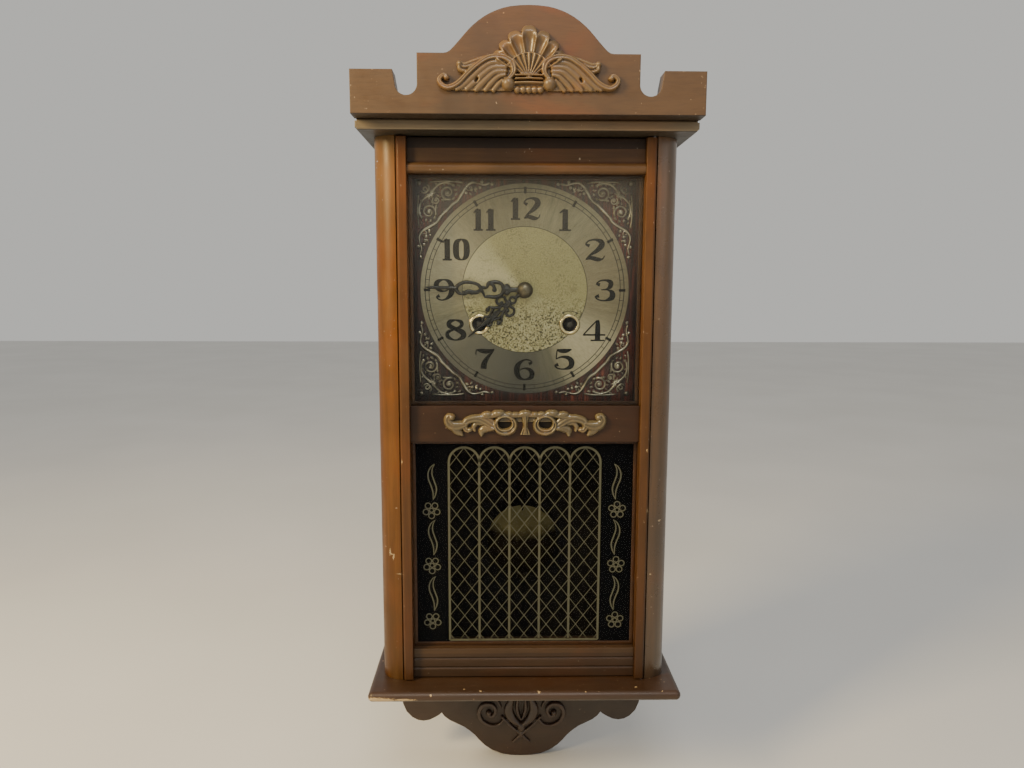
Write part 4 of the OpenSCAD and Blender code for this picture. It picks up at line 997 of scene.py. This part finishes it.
def black_border():
    """The print's black ground, round the arched windows."""
    x1, z0, z1 = (face("lower_glass", side, axis) for side, axis in ((1, 0), (0, 2), (1, 2)))
    x0, z0, z1 = -x1, z0 + HANG, z1 + HANG
    v, f = [], []

    def quad(*corners):
        k = len(v)
        for y in (PANE_Y + 0.05, PANE_Y + 0.15):
            v.extend((x, y, z) for x, z in corners)
        f.extend([(k, k + 1, k + 2, k + 3), (k + 7, k + 6, k + 5, k + 4)])
        f.extend((k + i, k + i + 4, k + (i + 1) % 4 + 4, k + (i + 1) % 4) for i in range(4))

    quad((x0, z0), (LANE_X, z0), (LANE_X, z1), (x0, z1))
    quad((-LANE_X, z0), (x1, z0), (x1, z1), (-LANE_X, z1))
    quad((LANE_X, z0), (-LANE_X, z0), (-LANE_X, LANE_FOOT), (LANE_X, LANE_FOOT))
    n = 14
    for lane in range(LANES):
        cx = LANE_X + LANE_W * (lane + 0.5)
        arch = [(cx + LANE_W / 2 * math.cos(a), LANE_TOP + LANE_W / 2 * math.sin(a))
                for a in (math.pi - math.pi * i / n for i in range(n + 1))]
        for p0, p1 in zip(arch, arch[1:]):
            quad(p0, p1, (p1[0], z1), (p0[0], z1))
    add_mesh("pane_black", v, f, "black_film", "door", "glass", smooth=False)


def lattice(r, cx):
    """Crossed lines inside one window: diamonds as wide as the window, clipped by its foot and its arch."""
    half_w, diamond_h, top, line_w = LANE_W / 2, 16.8, 188.6, 0.62
    for s in (-1, 1):
        for row in range(-2, 12):
            pts = []
            for x in np.linspace(-half_w, half_w, 41):
                z = top - diamond_h * row + s * x * diamond_h / half_w
                if LANE_FOOT <= z <= LANE_TOP + math.sqrt(max(0, half_w ** 2 - x * x)):
                    pts.append((cx + x, z, line_w))
            if len(pts) > 1:
                r.strip([pts[0], pts[-1]])


def flower_column(r, s):
    """Three flowers, each under a leaf of two swung lines that meet at both tips."""
    cx = s * 80.7
    for fz in (150.2, 100.4, 49.4):
        for i in range(5):
            a = math.radians(90 * s + 72 * i)
            r.ring(cx + 5.0 * math.cos(a), fz + 5.0 * math.sin(a), 2.5, 0.95, 17)
        r.ring(cx, fz, 1.8, 0.9, 15)
        for side in (((3, 41, 0.5), (-0.4, 38.2, 0.9), (-2.6, 33.2, 1.1), (-2.4, 27.6, 1.2),
                      (-0.2, 21.8, 1.2), (1.4, 16, 1.1), (1.5, 9.4, 0.6)),
                     ((3, 41, 0.5), (1, 36.6, 0.9), (0.8, 31.4, 1.1), (2.6, 25.6, 1.2), (4.4, 19.6, 1.2),
                      (3.6, 14, 1.1), (1.5, 9.4, 0.6))):
            r.curve([(cx - s * x, fz + z, w) for x, z, w in side], sub=5)


def gold_lines():
    r = Ribbons(PANE_Y, 0.06, dome=False)
    w = 1.9
    for k in range(LANES + 1):
        x = LANE_X + LANE_W * k
        r.strip([(x, LANE_FOOT, w), (x, LANE_TOP, w)])
    r.strip([(LANE_X, LANE_FOOT, w), (-LANE_X, LANE_FOOT, w)])
    for k in range(LANES):
        cx = LANE_X + LANE_W * (k + 0.5)
        r.arc(cx, LANE_TOP, LANE_W / 2, 0, math.pi, w, n=20)
        lattice(r, cx)
    for s in (-1, 1):
        flower_column(r, s)
    r.build("pane_gold_lines", "gold_print", "door", "glass")


# ---- stage
def stage():
    """Pale floor just under the bracket, even surroundings, and three soft lights."""
    me = bpy.data.meshes.new("floor")
    half, z = 6.0, (face("base_bracket", 0, 2) - 0.2) / 1000.0
    me.from_pydata([(-half, -half, z), (half, -half, z), (half, half, z), (-half, half, z)], [],
                   [(0, 1, 2, 3)])
    ob = bpy.data.objects.new("floor", me)
    bpy.context.scene.collection.objects.link(ob)
    m = Mat("floor_pale")
    n = m.noise(3.0, 2.0, 0.5)
    me.materials.append(m.bsdf(Base_Color=m.ramp(n, (0.3, (0.66, 0.65, 0.63)), (0.7, (0.70, 0.69, 0.67))),
                               Roughness=0.9))
    world = bpy.data.worlds.new("world")
    bpy.context.scene.world = world
    world.use_nodes = True
    bg = world.node_tree.nodes["Background"]
    bg.inputs["Color"].default_value = (0.83, 0.82, 0.78, 1)
    bg.inputs["Strength"].default_value = 0.66

    def area(name, loc, target, size, power, color):
        d = bpy.data.lights.new(name, "AREA")
        d.shape = "RECTANGLE"
        d.size, d.size_y = size
        d.energy = power
        d.color = color
        o = bpy.data.objects.new(name, d)
        bpy.context.scene.collection.objects.link(o)
        o.location = loc
        o.rotation_euler = (Vector(target) - Vector(loc)).to_track_quat("-Z", "Y").to_euler()

    mid = P(0, -50, 250)
    area("key", (-1.05, -0.80, 0.45), P(0, -60, 330), (0.35, 0.6), 31, (1.0, 0.75, 0.36))
    area("fill", (1.3, -1.2, 0.5), mid, (1.2, 1.2), 2.5, (0.9, 0.95, 1.0))
    area("front", (0.0, -1.15, 1.0), mid, (0.7, 0.4), 9, (1.0, 0.98, 0.94))


make_camera()
metal_finishes()
wood_finishes()
paint_and_glass_finishes()
crown_carving()
mid_ornament()
bracket_carving()
dial_print()
spandrels()
hands()
black_border()
gold_lines()
stage()
